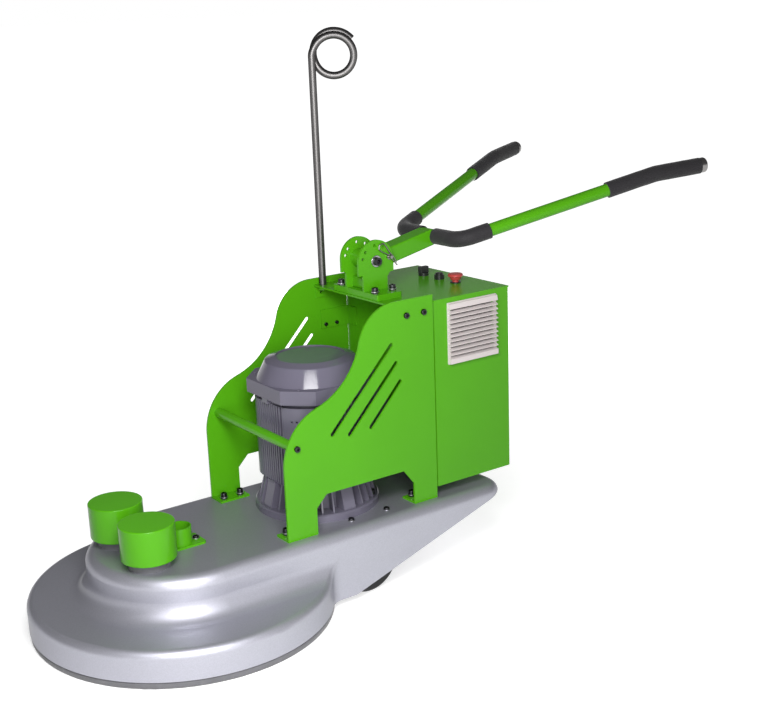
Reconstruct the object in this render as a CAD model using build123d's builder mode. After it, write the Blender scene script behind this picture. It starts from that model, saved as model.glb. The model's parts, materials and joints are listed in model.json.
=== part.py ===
"""Walk-behind floor polishing machine, in millimetres.

The origin is the axis of the polishing disc on the floor. +X points back to the
operator's grips, +Z is up, and left is -Y, so the pieces called left are on -Y.
"""
import os
from math import asin, cos, degrees, radians, sin, tan

from build123d import *

os.makedirs("parts", exist_ok=True)

# Driving dimensions: polishing head and raised deck
disc_r = 350.0
skirt_z = 17.0
shoulder_z = 84.0
rim_round = 17.0
deck_z = 180.0
deck_half = 212.0
deck_round = 26.0
cove_r = 42.0
shell_t = 5.0
tail_x = 808.0
tail_corner = 60.0
keel_x = 341.5
keel_slope = 17.5

# Driving dimensions: side plates
plate_half = 180.0
plate_t = 5.0
plate_front_x = 184.0
plate_rear_x = 610.5
bow_start_z = 350.0
bow_radii = (134.0, 178.0, 104.0)
bow_turns = (-73.0, 59.0, -76.0)
foot_in = 45.0
front_leg_rear_x = 264.0
rear_leg_front_x = 542.0
arch_z = 271.0
slot_w = 11.0
slot_ends = (
    ((316, 408), (487, 584)),
    ((363, 398), (499, 539)),
    ((423, 402), (509, 493)),
)

# Driving dimensions: drive line
motor_x = 380.0
motor_flange_r = 150.0
motor_flange_t = 18.0
housing_z = (262.0, 455.0)
fin_half = 124.0
fin_corner = 90.0
core_r = 116.0
cowl_z = (467.0, 500.0, 541.0, 548.5)
cowl_flat = 134.0
hood_r = (131.0, 108.0, 84.0)
cowl_t = 2.5
shaft_r = 19.5
motor_pulley_r = 60.0
spindle_pulley_r = 90.0
spindle_r = 20.0
pulley_z = (92.0, 127.0)
pad_r = 343.0
pad_t = 22.0
driver_r = 335.0
run_gap = 0.05

# Driving dimensions: transport wheels
wheel_x = 398.0
wheel_y = 172.0
wheel_r = 80.0
wheel_w = 36.0

# Driving dimensions: control box and shelf
box_front_x = 614.0
box_rear_x = 845.0
box_z = 207.0
shelf_z = 668.0
shelf_t = 4.0
shelf_front_x = 512.0
sheet_t = 2.0
cover_depth = 30.0
grille_x = 727.0
grille_z = 581.0
grille_size = 150.0

# Driving dimensions: handle bracket, handle and mast
pivot_x = 554.0
pivot_z = 751.0
head_r = 51.0
cheek_in = 33.0
cheek_t = 6.0
index_r = 38.0
index_angles = (9.0, 55.0, 94.0, 140.0, 166.0)
pin_r = 4.0
rise = 12.0
arm_lift = 2.65
stem_drop = 8.0
stem_w = 50.0
stem_h = 40.0
bar_u = 195.0
bar_r = 16.0
sleeve_r = 20.0
bar_bend = 50.0
splay = 20.4
corner_y = 117.5
grip_u = 683.0
grip_len = 133.0
grip_dip = 5.7
mast_x = 530.0
mast_y = 160.0
mast_r = 9.0
mast_foot_z = 656.0

shelf_under_z = shelf_z - shelf_t
plate_in = plate_half - plate_t
deck_under_z = deck_z - shell_t


def save(piece, name):
    """Label a finished piece and write it under its own name."""
    piece.part.label = name
    export_step(piece.part, f"parts/{name}.step")


def deck_outline(half_width, tail, corner):
    """Plan of the raised deck: round bow about the disc axis, straight sides, blunt tail."""
    with BuildSketch() as outline:
        with BuildLine():
            bow = ThreePointArc((0, half_width), (-half_width, 0), (0, -half_width))
            near = Line(bow @ 1, (tail, -half_width))
            stern = Line(near @ 1, (tail, half_width))
            Line(stern @ 1, bow @ 0)
        make_face()
        fillet(outline.vertices().group_by(Axis.X)[-1], corner)
    return outline.sketch


def bolt_group(planes_and_lengths, cap_r, cap_h, shank_r):
    """Cap bolts, each standing on its own plane with a shank of its length down into it."""
    with BuildPart() as bolts:
        for planes, length in planes_and_lengths:
            for plane in planes:
                with BuildSketch(plane):
                    Circle(cap_r)
                extrude(amount=cap_h)
                with BuildSketch(plane):
                    Circle(shank_r)
                extrude(amount=-length)
    return bolts


def facing_up(points, z):
    return [Plane((x, y, z)) for x, y in points]


def facing_side(points, y):
    """Planes on the outer side of a wall at y, looking away from the middle."""
    side = 1 if y > 0 else -1
    return [Plane((x, y, z), x_dir=(1, 0, 0), z_dir=(0, side, 0)) for x, z in points]


# Bolt positions that several pieces share
foot_points = [(x, s * (plate_in - 31)) for x in (200, 245, 559, 592) for s in (-1, 1)]
bracket_points = [(x, s * 162) for x in (368, 470) for s in (-1, 1)]
flange_bolt_r = 132.5
flange_points = [
    (motor_x + flange_bolt_r * cos(radians(a)), flange_bolt_r * sin(radians(a)))
    for a in (45, 135, 225, 315)
]
spigot_x, spigot_y = -8.0, -24.0
spigot_points = [(spigot_x - 40, spigot_y), (spigot_x + 40, spigot_y)]
weight_points = [(-111, -80), (-111, 80)]
shelf_bolt_points = [(532, 647), (582, 647)]
spacer_point = (219, 396)
base_points = [(x, y) for x in (526, 577) for y in (-70, 70)]
control_x = 776.0
selector_y, start_y, estop_y = 66.0, 2.0, -62.0
screw_r = 2.5
gland_point, gland_r = (690, 560), 12.5


def on_shoulder(edge):
    """True for an edge that lies in the flat shoulder round the deck."""
    heights = [edge.position_at(t).Z for t in (0, 0.5, 1)]
    return max(abs(z - shoulder_z) for z in heights) < 0.01


def beside_deck(edge):
    """True for an edge along the foot of the deck wall, within the skirt's circle."""
    middle = edge.position_at(0.5)
    along_side = abs(abs(middle.Y) - deck_half) < 0.01 and 0 < middle.X < disc_r
    return along_side or abs(Vector(middle.X, middle.Y).length - deck_half) < 0.01


# Hollow under the deck and the skirt, one shell thickness inside their outer faces
skirt_back_z = shoulder_z - 12
inner_outline = deck_outline(deck_half - shell_t, tail_x - shell_t, tail_corner - shell_t)
with BuildPart() as deck_hollow:
    with BuildSketch(Plane.XY.offset(skirt_back_z)):
        add(inner_outline)
    extrude(amount=deck_under_z - skirt_back_z)
    fillet(deck_hollow.faces().sort_by(Axis.Z)[-1].edges(), deck_round - shell_t)
    with BuildSketch(Plane.XY):
        add(inner_outline)
        Circle(disc_r, mode=Mode.SUBTRACT)
    extrude(amount=skirt_back_z)
    with BuildSketch(Plane.XZ):
        Polygon(
            (0, 0),
            (disc_r - shell_t, 0),
            (disc_r - shell_t, shoulder_z - rim_round),
            (disc_r - rim_round, shoulder_z - shell_t),
            (0, shoulder_z - shell_t),
            align=None,
        )
    revolve(axis=Axis.Z)

# Deck body: the disc skirt with the raised deck on it, one hollow shell
keel_end_x = tail_x + 100
keel_rise = tan(radians(keel_slope))
with BuildPart() as deck_body:
    with BuildSketch(Plane.XY.offset(skirt_z)):
        add(deck_outline(deck_half, tail_x, tail_corner))
    extrude(amount=deck_z - skirt_z)
    fillet(deck_body.faces().sort_by(Axis.Z)[-1].edges(), deck_round)
    with BuildSketch(Plane.XZ):
        Polygon(
            (keel_x, skirt_z),
            (keel_x, 0),
            (keel_end_x, 0),
            (keel_end_x, skirt_z + (keel_end_x - keel_x) * keel_rise),
            align=None,
        )
    extrude(amount=disc_r, both=True, mode=Mode.SUBTRACT)
    with BuildSketch(Plane.XY.offset(skirt_z)):
        Circle(disc_r)
    extrude(amount=shoulder_z - skirt_z)
    deck_foot = deck_body.edges().filter_by(on_shoulder).filter_by(beside_deck)
    skirt_joint = deck_body.edges().filter_by(Axis.Z).filter_by(beside_deck)
    fillet(deck_foot + skirt_joint, cove_r)
    skirt_rim = deck_body.edges().filter_by(GeomType.CIRCLE).filter_by(on_shoulder)
    fillet(skirt_rim.sort_by(SortBy.RADIUS)[-1], rim_round)
    add(deck_hollow.part, mode=Mode.SUBTRACT)
    with BuildSketch(Plane.XY.offset(deck_z)):
        with Locations((motor_x, 0)):
            Circle(75)
        with Locations((spigot_x, spigot_y)):
            Circle(26)
        with Locations(*foot_points, *bracket_points, *spigot_points):
            Circle(4)
        with Locations(*flange_points):
            Circle(6)
        with Locations(*weight_points):
            Circle(10)
    extrude(amount=-shell_t, mode=Mode.SUBTRACT)
save(deck_body, "deck_body")


def plate_outline():
    """Side plate: upright front, three tangent arcs up to the flat top, arched underside."""
    with BuildSketch() as outline:
        with BuildLine():
            front = Line((plate_front_x, deck_z), (plate_front_x, bow_start_z))
            belly = JernArc(front @ 1, front % 1, bow_radii[0], bow_turns[0])
            waist = JernArc(belly @ 1, belly % 1, bow_radii[1], bow_turns[1])
            crown = JernArc(waist @ 1, waist % 1, bow_radii[2], bow_turns[2])
            top = Line(crown @ 1, (plate_rear_x, (crown @ 1).Y))
            Polyline(
                top @ 1,
                (plate_rear_x, deck_z),
                (rear_leg_front_x, deck_z),
                (rear_leg_front_x, arch_z - 38),
                (rear_leg_front_x - 30, arch_z),
                (front_leg_rear_x + 28, arch_z),
                (front_leg_rear_x, arch_z - 28),
                (front_leg_rear_x, deck_z),
                front @ 0,
            )
        make_face()
        for low, high in slot_ends:
            middle = ((low[0] + high[0]) / 2, (low[1] + high[1]) / 2)
            SlotCenterPoint(middle, high, slot_w, mode=Mode.SUBTRACT)
        with Locations(spacer_point, *shelf_bolt_points):
            Circle(4, mode=Mode.SUBTRACT)
    return outline.sketch


# Side plates: sheet steel with feet bent inwards and three slanting slots
foot_spans = ((plate_front_x, front_leg_rear_x), (rear_leg_front_x, plate_rear_x))
for side, name in ((-1, "side_plate_left"), (1, "side_plate_right")):
    outer_first = plate_in if side < 0 else -plate_half
    with BuildPart() as side_plate:
        with BuildSketch(Plane.XZ.offset(outer_first)):
            add(plate_outline())
        extrude(amount=plate_t)
        with BuildSketch(Plane.XY.offset(deck_z)):
            for x0, x1 in foot_spans:
                with Locations(((x0 + x1) / 2, side * (plate_half - (foot_in + plate_t) / 2))):
                    Rectangle(x1 - x0, foot_in + plate_t)
            with Locations(*foot_points):
                Circle(4, mode=Mode.SUBTRACT)
        extrude(amount=plate_t)
    save(side_plate, name)

# Spacer rod: a tube that ties the two plates together in front of the motor
spacer_r = 12.0
with BuildPart() as spacer_rod:
    with BuildSketch(Plane.XZ.offset(-plate_in)):
        with Locations(spacer_point):
            Circle(spacer_r)
            Circle(4, mode=Mode.SUBTRACT)
    extrude(amount=2 * plate_in)
save(spacer_rod, "spacer_rod")

# Motor end shield: mounting flange, neck and ribs, with the bore for the shaft
motor_axis = Axis((motor_x, 0, 0), (0, 0, 1))
flange_top_z = deck_z + motor_flange_t
bore_r = shaft_r + run_gap
rib_count = 32
rib_profile = (
    (core_r - 12, flange_top_z),
    (141, flange_top_z),
    (141, flange_top_z + 4),
    (core_r + 10, housing_z[0] - 6),
    (core_r + 10, housing_z[0]),
    (core_r - 12, housing_z[0]),
)


def rib_plane(angle):
    """Upright plane through the motor axis, with its x out along this angle."""
    x, y = cos(radians(angle)), sin(radians(angle))
    return Plane((motor_x, 0, 0), x_dir=(x, y, 0), z_dir=(y, -x, 0))


with BuildPart() as motor_end_shield:
    with BuildSketch(Plane.XZ):
        with Locations((motor_x, 0)):
            Polygon(
                (bore_r, deck_z),
                (motor_flange_r, deck_z),
                (motor_flange_r, flange_top_z - 3),
                (motor_flange_r - 3, flange_top_z),
                (core_r - 8, flange_top_z),
                (core_r - 8, housing_z[0] - 26),
                (core_r + 6, housing_z[0]),
                (bore_r, housing_z[0]),
                align=None,
            )
    revolve(axis=motor_axis)
    with BuildSketch(*[rib_plane((i + 0.5) * 360 / rib_count) for i in range(rib_count)]):
        Polygon(*rib_profile, align=None)
    extrude(amount=2, both=True)
    with BuildSketch(*[rib_plane(angle) for angle in (0, 90, 180, 270)]):
        Polygon(*rib_profile, align=None)
    extrude(amount=16, both=True)
    with BuildSketch(Plane.XY.offset(deck_z)):
        with Locations(*flange_points):
            Circle(6)
    extrude(amount=motor_flange_t, mode=Mode.SUBTRACT)
save(motor_end_shield, "motor_end_shield")

flange_bolts = bolt_group([(facing_up(flange_points, flange_top_z), motor_flange_t + shell_t)], 10, 12, 6)
save(flange_bolts, "motor_flange_bolts")

# Motor housing: ribbed barrel with corner pads, a seat for the terminal box and cowl lugs
fin_count = 84
fin_out = fin_corner + (fin_half - fin_corner) * 1.5
seat_x = motor_x + core_r + 8
seat_w, seat_low, seat_high = 104.0, 325.0, 435.0
cap_top_z = housing_z[1] + 7
with BuildPart() as motor_housing:
    with BuildSketch(Plane.XY.offset(housing_z[0])):
        with Locations((motor_x, 0)):
            Circle(core_r)
            with PolarLocations((core_r + fin_out) / 2 - 2, fin_count):
                Rectangle(fin_out - core_r + 4, 4.4)
            with PolarLocations(core_r + 9, 4, start_angle=45):
                Rectangle(26, 84)
            RectangleRounded(2 * fin_half, 2 * fin_half, fin_corner, mode=Mode.INTERSECT)
    extrude(amount=housing_z[1] - housing_z[0])
    for angle in (45, 135, 225, 315):
        pad_x, pad_y = cos(radians(angle)), sin(radians(angle))
        pad_face = Plane(
            (motor_x + (core_r + 22) * pad_x, (core_r + 22) * pad_y, housing_z[1] - 32),
            x_dir=(-pad_y, pad_x, 0),
            z_dir=(pad_x, pad_y, 0),
        )
        with BuildSketch(pad_face):
            with Locations((-8, 0), (-20, 0)):
                Circle(2.5)
        extrude(amount=-12, mode=Mode.SUBTRACT)
    with BuildSketch(Plane.XY.offset(housing_z[1])):
        with Locations((motor_x, 0)):
            Circle(core_r + 6)
    extrude(amount=cap_top_z - housing_z[1])
    lug_out = cowl_flat - cowl_t
    with BuildSketch(Plane.XY.offset(housing_z[1])):
        with Locations((motor_x, 0)):
            with PolarLocations(lug_out - 10, 4):
                Rectangle(20, 24)
    extrude(amount=cowl_z[0] + 12 - housing_z[1])
    with BuildSketch(Plane.XY.offset(seat_low)):
        with Locations((seat_x + 20, 0)):
            Rectangle(40, seat_w)
    extrude(amount=seat_high - seat_low, mode=Mode.SUBTRACT)
    with BuildSketch(Plane.XY.offset(seat_low)):
        with Locations((seat_x - 20, 0)):
            Rectangle(40, seat_w)
    extrude(amount=seat_high - seat_low)
    with BuildSketch(Plane.XY.offset(housing_z[0])):
        with Locations((motor_x, 0)):
            Circle(bore_r)
    extrude(amount=cap_top_z - housing_z[0], mode=Mode.SUBTRACT)
save(motor_housing, "motor_housing")

# Terminal box on the back of the motor
terminal_depth = 66.0
with BuildPart() as terminal_box:
    with BuildSketch(Plane.YZ.offset(seat_x)):
        with Locations((0, (seat_low + seat_high) / 2)):
            RectangleRounded(seat_w - 4, seat_high - seat_low - 4, 10)
    extrude(amount=terminal_depth)
    fillet(terminal_box.faces().sort_by(Axis.X)[-1].edges(), 5)
save(terminal_box, "terminal_box")

# Fan cowl: eight-sided band under a round hood with a dished top
cowl_corner = 59.0


def cowl_band(flat, corner):
    with BuildSketch() as band:
        with Locations((motor_x, 0)):
            Rectangle(2 * flat, 2 * flat)
        chamfer(band.vertices(), corner)
    return band.sketch


def hood_profile(inward, foot_z, drop):
    """Half section of the round hood: steep side, soft edge, sloping ring and flat top."""
    foot_r, edge_r, top_r = [r - inward for r in hood_r]
    edge_z, top_z = cowl_z[2] - drop, cowl_z[3] - drop
    with BuildSketch() as hood:
        with Locations((motor_x, 0)):
            Polygon((0, foot_z), (foot_r, foot_z), (edge_r, edge_z), (top_r, top_z), (0, top_z), align=None)
        fillet(hood.vertices().sort_by(Axis.Y)[2], 5)
    return hood.sketch


with BuildPart() as motor_fan_cowl:
    with BuildSketch(Plane.XY.offset(cowl_z[0])):
        add(cowl_band(cowl_flat, cowl_corner))
    extrude(amount=cowl_z[1] - cowl_z[0])
    with BuildSketch(Plane.XZ):
        add(hood_profile(0, cowl_z[1] - 1, 0))
    revolve(axis=motor_axis)
    with BuildSketch(Plane.XY.offset(cowl_z[0])):
        add(cowl_band(cowl_flat - cowl_t, cowl_corner - 1.5))
    extrude(amount=cowl_z[1] - cowl_t - cowl_z[0], mode=Mode.SUBTRACT)
    inner_foot_z = cowl_z[1] - cowl_t - 0.5
    with BuildSketch(Plane.XZ):
        add(hood_profile(cowl_t, inner_foot_z, cowl_t + 2.5))
    revolve(axis=motor_axis, mode=Mode.SUBTRACT)
    with BuildSketch(Plane.XY.offset(cowl_z[3])):
        with Locations((motor_x, 0)):
            Circle(hood_r[2] - 2)
    extrude(amount=-2.5, mode=Mode.SUBTRACT)
    with BuildSketch(Plane.XY.offset(cowl_z[1] - 1)):
        with Locations((motor_x, 0)):
            with PolarLocations(138, 4, start_angle=45):
                Circle(3.5)
    extrude(amount=3)
save(motor_fan_cowl, "motor_fan_cowl")

# Motor shaft with its cooling fan and drive pulley
fan_z = cap_top_z + 6
shaft_top_z = fan_z + 24
with BuildPart() as motor_shaft:
    with BuildSketch(Plane.XY.offset(pulley_z[0] - 4)):
        with Locations((motor_x, 0)):
            Circle(shaft_r)
    extrude(amount=shaft_top_z - pulley_z[0] + 4)
    chamfer(motor_shaft.edges().filter_by(GeomType.CIRCLE), 1.5)
save(motor_shaft, "motor_shaft")

cooling_fan_r = 98.0
with BuildPart() as cooling_fan:
    with BuildSketch(Plane.XY.offset(fan_z)):
        with Locations((motor_x, 0)):
            Circle(cooling_fan_r)
            Circle(shaft_r, mode=Mode.SUBTRACT)
    extrude(amount=3)
    with BuildSketch(Plane.XY.offset(fan_z)):
        with Locations((motor_x, 0)):
            Circle(shaft_r + 12)
            with PolarLocations((cooling_fan_r + shaft_r) / 2 + 4, 8):
                Rectangle(cooling_fan_r - shaft_r - 10, 3)
            Circle(shaft_r, mode=Mode.SUBTRACT)
    extrude(amount=20)
save(cooling_fan, "cooling_fan")


def belt_pulley(x, rim_r, hub_bore):
    """Flat-belt pulley between two thin guide flanges."""
    low, high = pulley_z
    with BuildPart() as pulley:
        with BuildSketch(Plane.XZ):
            with Locations((x, 0)):
                Polygon(
                    (hub_bore, low),
                    (rim_r + 4, low),
                    (rim_r + 4, low + 3),
                    (rim_r, low + 3),
                    (rim_r, high - 3),
                    (rim_r + 4, high - 3),
                    (rim_r + 4, high),
                    (hub_bore, high),
                    align=None,
                )
        revolve(axis=Axis((x, 0, 0), (0, 0, 1)))
        with BuildSketch(Plane.XY.offset(high)):
            with Locations((x, 0)):
                Circle(rim_r - 10)
                Circle(hub_bore + 14, mode=Mode.SUBTRACT)
        extrude(amount=-12, mode=Mode.SUBTRACT)
    return pulley


drive_pulley = belt_pulley(motor_x, motor_pulley_r, shaft_r)
save(drive_pulley, "drive_pulley")
spindle_pulley = belt_pulley(0, spindle_pulley_r, spindle_r)
save(spindle_pulley, "spindle_pulley")

# Drive belt: the band round both pulleys, drawn just clear of their rims
belt_gap, belt_t = 0.5, 5.0


def belt_loop(outward):
    with BuildSketch() as loop:
        with BuildLine():
            CenterArc((0, 0), spindle_pulley_r + outward, 0, 360)
            CenterArc((motor_x, 0), motor_pulley_r + outward, 0, 360)
        make_hull()
    return loop.sketch


with BuildPart() as drive_belt:
    with BuildSketch(Plane.XY.offset(pulley_z[0] + 4)):
        add(belt_loop(belt_gap + belt_t))
        add(belt_loop(belt_gap), mode=Mode.SUBTRACT)
    extrude(amount=pulley_z[1] - pulley_z[0] - 8)
save(drive_belt, "drive_belt")

# Spindle housing under the deck, with two ball bearings
bearing_r, bearing_w = 36.0, 14.0
housing_low_z = pulley_z[1] + 5
bearing_lows = (housing_low_z + 2, deck_under_z - 3 - bearing_w)
with BuildPart() as spindle_housing:
    with BuildSketch(Plane.XZ):
        Polygon(
            (spindle_r + 6, housing_low_z),
            (52, housing_low_z),
            (52, deck_under_z - 10),
            (80, deck_under_z - 10),
            (80, deck_under_z),
            (spindle_r + 6, deck_under_z),
            align=None,
        )
    revolve(axis=Axis.Z)
    for low in bearing_lows:
        with BuildSketch(Plane.XY.offset(low)):
            Circle(bearing_r)
        extrude(amount=bearing_w, mode=Mode.SUBTRACT)
save(spindle_housing, "spindle_housing")

with BuildPart() as spindle_bearings:
    for low in bearing_lows:
        with BuildSketch(Plane.XY.offset(low)):
            Circle(bearing_r)
            Circle(spindle_r + run_gap, mode=Mode.SUBTRACT)
        extrude(amount=bearing_w)
save(spindle_bearings, "spindle_bearings")

# Polishing head: spindle, pad driver and pad
driver_top_z = pad_t + 16
with BuildPart() as spindle:
    with BuildSketch(Plane.XZ):
        Polygon(
            (0, driver_top_z),
            (58, driver_top_z),
            (58, driver_top_z + 8),
            (spindle_r + 4, driver_top_z + 14),
            (spindle_r + 4, pulley_z[0]),
            (spindle_r, pulley_z[0]),
            (spindle_r, deck_under_z - 2),
            (0, deck_under_z - 2),
            align=None,
        )
    revolve(axis=Axis.Z)
save(spindle, "spindle")

with BuildPart() as pad_driver:
    with BuildSketch(Plane.XZ):
        Polygon(
            (0, pad_t),
            (driver_r, pad_t),
            (driver_r, pad_t + 8),
            (driver_r - 4, pad_t + 10),
            (90, pad_t + 10),
            (74, driver_top_z),
            (0, driver_top_z),
            align=None,
        )
    revolve(axis=Axis.Z)
save(pad_driver, "pad_driver")

with BuildPart() as polishing_pad:
    with BuildSketch(Plane.XY):
        Circle(pad_r)
    extrude(amount=pad_t)
    fillet(polishing_pad.edges().filter_by(GeomType.CIRCLE), 4)
save(polishing_pad, "polishing_pad")

# Transport wheels: brackets under the deck, axle bolts, rims and solid tyres
wheel_in = wheel_y - wheel_w / 2
bracket_in = wheel_in - 12
bracket_t = 6.0
bracket_low_x, bracket_high_x = 352.0, 488.0
axle_r = 10.0
with BuildPart() as wheel_brackets:
    for side in (-1, 1):
        face_y = bracket_in if side < 0 else -bracket_in - bracket_t
        with BuildSketch(Plane.XZ.offset(face_y)):
            Polygon(
                (bracket_low_x, deck_under_z),
                (bracket_high_x, deck_under_z),
                (wheel_x + 24, wheel_r),
                (wheel_x - 24, wheel_r),
                align=None,
            )
            with Locations((wheel_x, wheel_r)):
                Circle(24)
                Circle(axle_r, mode=Mode.SUBTRACT)
        extrude(amount=bracket_t)
        with BuildSketch(Plane.XY.offset(deck_under_z)):
            with Locations(((bracket_low_x + bracket_high_x) / 2, side * (bracket_in + 22))):
                Rectangle(bracket_high_x - bracket_low_x, 44)
            with Locations(*bracket_points):
                Circle(4, mode=Mode.SUBTRACT)
        extrude(amount=-bracket_t)
save(wheel_brackets, "wheel_brackets")

axle_out = wheel_y + wheel_w / 2 + 3
axle_profile = (
    (0, bracket_in - 8),
    (15, bracket_in - 8),
    (15, bracket_in),
    (axle_r, bracket_in),
    (axle_r, axle_out),
    (14, axle_out),
    (14, axle_out + 5),
    (0, axle_out + 5),
)
with BuildPart() as wheel_axles:
    for side in (-1, 1):
        with BuildSketch(Plane.XY.offset(wheel_r)):
            Polygon(*[(wheel_x + r, side * y) for r, y in axle_profile], align=None)
        revolve(axis=Axis((wheel_x, 0, wheel_r), (0, 1, 0)))
save(wheel_axles, "wheel_axles")

rim_r, hub_r, web_t = 57.0, 24.0, 8.0
hub_half = wheel_w / 2 + 1
rim_profile = (
    (axle_r + run_gap, -hub_half),
    (hub_r, -hub_half),
    (hub_r + 4, -web_t / 2),
    (rim_r - 8, -web_t / 2),
    (rim_r - 5, -wheel_w / 2 + 3),
    (rim_r, -wheel_w / 2 + 3),
    (rim_r, wheel_w / 2 - 3),
    (rim_r - 5, wheel_w / 2 - 3),
    (rim_r - 8, web_t / 2),
    (hub_r + 4, web_t / 2),
    (hub_r, hub_half),
    (axle_r + run_gap, hub_half),
)
for side, name in ((-1, "left"), (1, "right")):
    centre = Axis((wheel_x, 0, wheel_r), (0, 1, 0))
    with BuildPart() as wheel_rim:
        with BuildSketch(Plane.XY.offset(wheel_r)):
            Polygon(*[(wheel_x + r, side * wheel_y + y) for r, y in rim_profile], align=None)
        revolve(axis=centre)
    save(wheel_rim, f"wheel_rim_{name}")
    with BuildPart() as wheel_tyre:
        with BuildSketch(Plane.XY.offset(wheel_r)) as tyre_section:
            with Locations((wheel_x + (rim_r + wheel_r) / 2, side * wheel_y)):
                Rectangle(wheel_r - rim_r, wheel_w)
            fillet(tyre_section.vertices().group_by(Axis.X)[-1], 7)
        revolve(axis=centre)
    save(wheel_tyre, f"wheel_tyre_{name}")

# Ballast weights on rubber buffers, each held by a post through the deck
weight_r, weight_low_z, weight_top_z = 62.0, 200.0, 281.0
post_r, post_top_z = 10.0, 232.0
with BuildPart() as weight_posts:
    with BuildSketch(Plane.XY.offset(deck_under_z)):
        with Locations(*weight_points):
            Circle(post_r)
    extrude(amount=post_top_z - deck_under_z)
    with BuildSketch(Plane.XY.offset(deck_under_z)):
        with Locations(*weight_points):
            RegularPolygon(16, 6)
    extrude(amount=-10)
save(weight_posts, "weight_posts")

with BuildPart() as weight_buffers:
    with BuildSketch(Plane.XY.offset(deck_z)):
        with Locations(*weight_points):
            Circle(46)
            Circle(post_r, mode=Mode.SUBTRACT)
    extrude(amount=weight_low_z - 0.3 - deck_z)
save(weight_buffers, "weight_buffers")

for (x, y), name in zip(weight_points, ("weight_left", "weight_right")):
    with BuildPart() as weight:
        with BuildSketch(Plane((x, y, weight_low_z))):
            Circle(weight_r)
        extrude(amount=weight_top_z - weight_low_z)
        fillet(weight.edges().filter_by(GeomType.CIRCLE), 2.5)
        with BuildSketch(Plane((x, y, weight_low_z))):
            Circle(post_r + run_gap)
        extrude(amount=post_top_z + 2 - weight_low_z, mode=Mode.SUBTRACT)
    save(weight, name)

# Hose spigot: flanged tube that opens into the skirt
spigot_r, spigot_wall, spigot_top_z = 28.0, 3.0, 226.0
with BuildPart() as hose_spigot:
    with BuildSketch(Plane((spigot_x, spigot_y, deck_z))):
        RectangleRounded(104, 64, 8)
    extrude(amount=plate_t)
    with BuildSketch(Plane((spigot_x, spigot_y, deck_z))):
        Circle(spigot_r)
    extrude(amount=spigot_top_z - deck_z)
    with BuildSketch(Plane((spigot_x, spigot_y, deck_z))):
        Circle(spigot_r - spigot_wall)
    extrude(amount=spigot_top_z - deck_z, mode=Mode.SUBTRACT)
    with BuildSketch(Plane.XY.offset(deck_z)):
        with Locations(*spigot_points):
            Circle(4)
    extrude(amount=plate_t, mode=Mode.SUBTRACT)
save(hose_spigot, "hose_spigot")

# Control box: open-backed sheet shell with a square port behind the grille
cover_front_x = box_rear_x - cover_depth
port = 126.0
with BuildPart() as control_box_shell:
    with BuildSketch(Plane.XY.offset(box_z)):
        with Locations(((box_front_x + cover_front_x) / 2, 0)):
            Rectangle(cover_front_x - box_front_x, 2 * plate_half)
    extrude(amount=shelf_under_z - box_z)
    with BuildSketch(Plane.XY.offset(box_z + sheet_t)):
        with Locations(((box_front_x + sheet_t + cover_front_x) / 2, 0)):
            Rectangle(cover_front_x - box_front_x - sheet_t, 2 * (plate_half - sheet_t))
    extrude(amount=shelf_under_z - box_z, mode=Mode.SUBTRACT)
    with BuildSketch(Plane.XZ.offset(plate_half - sheet_t)):
        with Locations((grille_x, grille_z)):
            Rectangle(port, port)
    extrude(amount=sheet_t, mode=Mode.SUBTRACT)
    with BuildSketch(Plane.XZ.offset(-plate_half)):
        with Locations(gland_point):
            Circle(gland_r)
    extrude(amount=sheet_t, mode=Mode.SUBTRACT)
save(control_box_shell, "control_box_shell")

# Cable gland in the right wall: lock nut inside, neck through the sheet, hexagon and dome outside
with BuildPart() as cable_gland:
    with BuildSketch(Plane.XZ.offset(sheet_t - plate_half)):
        with Locations(gland_point):
            RegularPolygon(gland_r + 5, 6)
    extrude(amount=5)
    with BuildSketch(Plane.XZ.offset(sheet_t - plate_half)):
        with Locations(gland_point):
            Circle(gland_r)
    extrude(amount=-sheet_t)
    with BuildSketch(Plane.XZ.offset(-plate_half)):
        with Locations(gland_point):
            RegularPolygon(gland_r + 4, 6)
    extrude(amount=-8)
    with BuildSketch(Plane.XZ.offset(-plate_half - 8)):
        with Locations(gland_point):
            Circle(gland_r + 1)
    extrude(amount=-14, taper=12)
    with BuildSketch(Plane.XZ.offset(-plate_half - 22)):
        with Locations(gland_point):
            Circle(gland_r - 5)
    extrude(amount=29, mode=Mode.SUBTRACT)
save(cable_gland, "cable_gland")

cover_screw_points = [
    (y, z) for y in (-165, 165) for z in (box_z + 15, (box_z + shelf_z) / 2, shelf_under_z - 12)
]
with BuildPart() as rear_cover:
    with BuildSketch(Plane.XY.offset(box_z)) as cover_plan:
        with Locations((box_rear_x - cover_depth / 2, 0)):
            Rectangle(cover_depth, 2 * plate_half)
        fillet(cover_plan.vertices().group_by(Axis.X)[-1], 4)
    extrude(amount=shelf_under_z - box_z)
    with BuildSketch(Plane.XY.offset(box_z + sheet_t)):
        with Locations((box_rear_x - cover_depth / 2 - sheet_t, 0)):
            Rectangle(cover_depth, 2 * (plate_half - sheet_t))
    extrude(amount=shelf_under_z - box_z - 2 * sheet_t, mode=Mode.SUBTRACT)
    with BuildSketch(Plane.YZ.offset(box_rear_x)):
        with Locations(*cover_screw_points):
            Circle(screw_r)
    extrude(amount=-sheet_t, mode=Mode.SUBTRACT)
save(rear_cover, "rear_cover")

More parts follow.
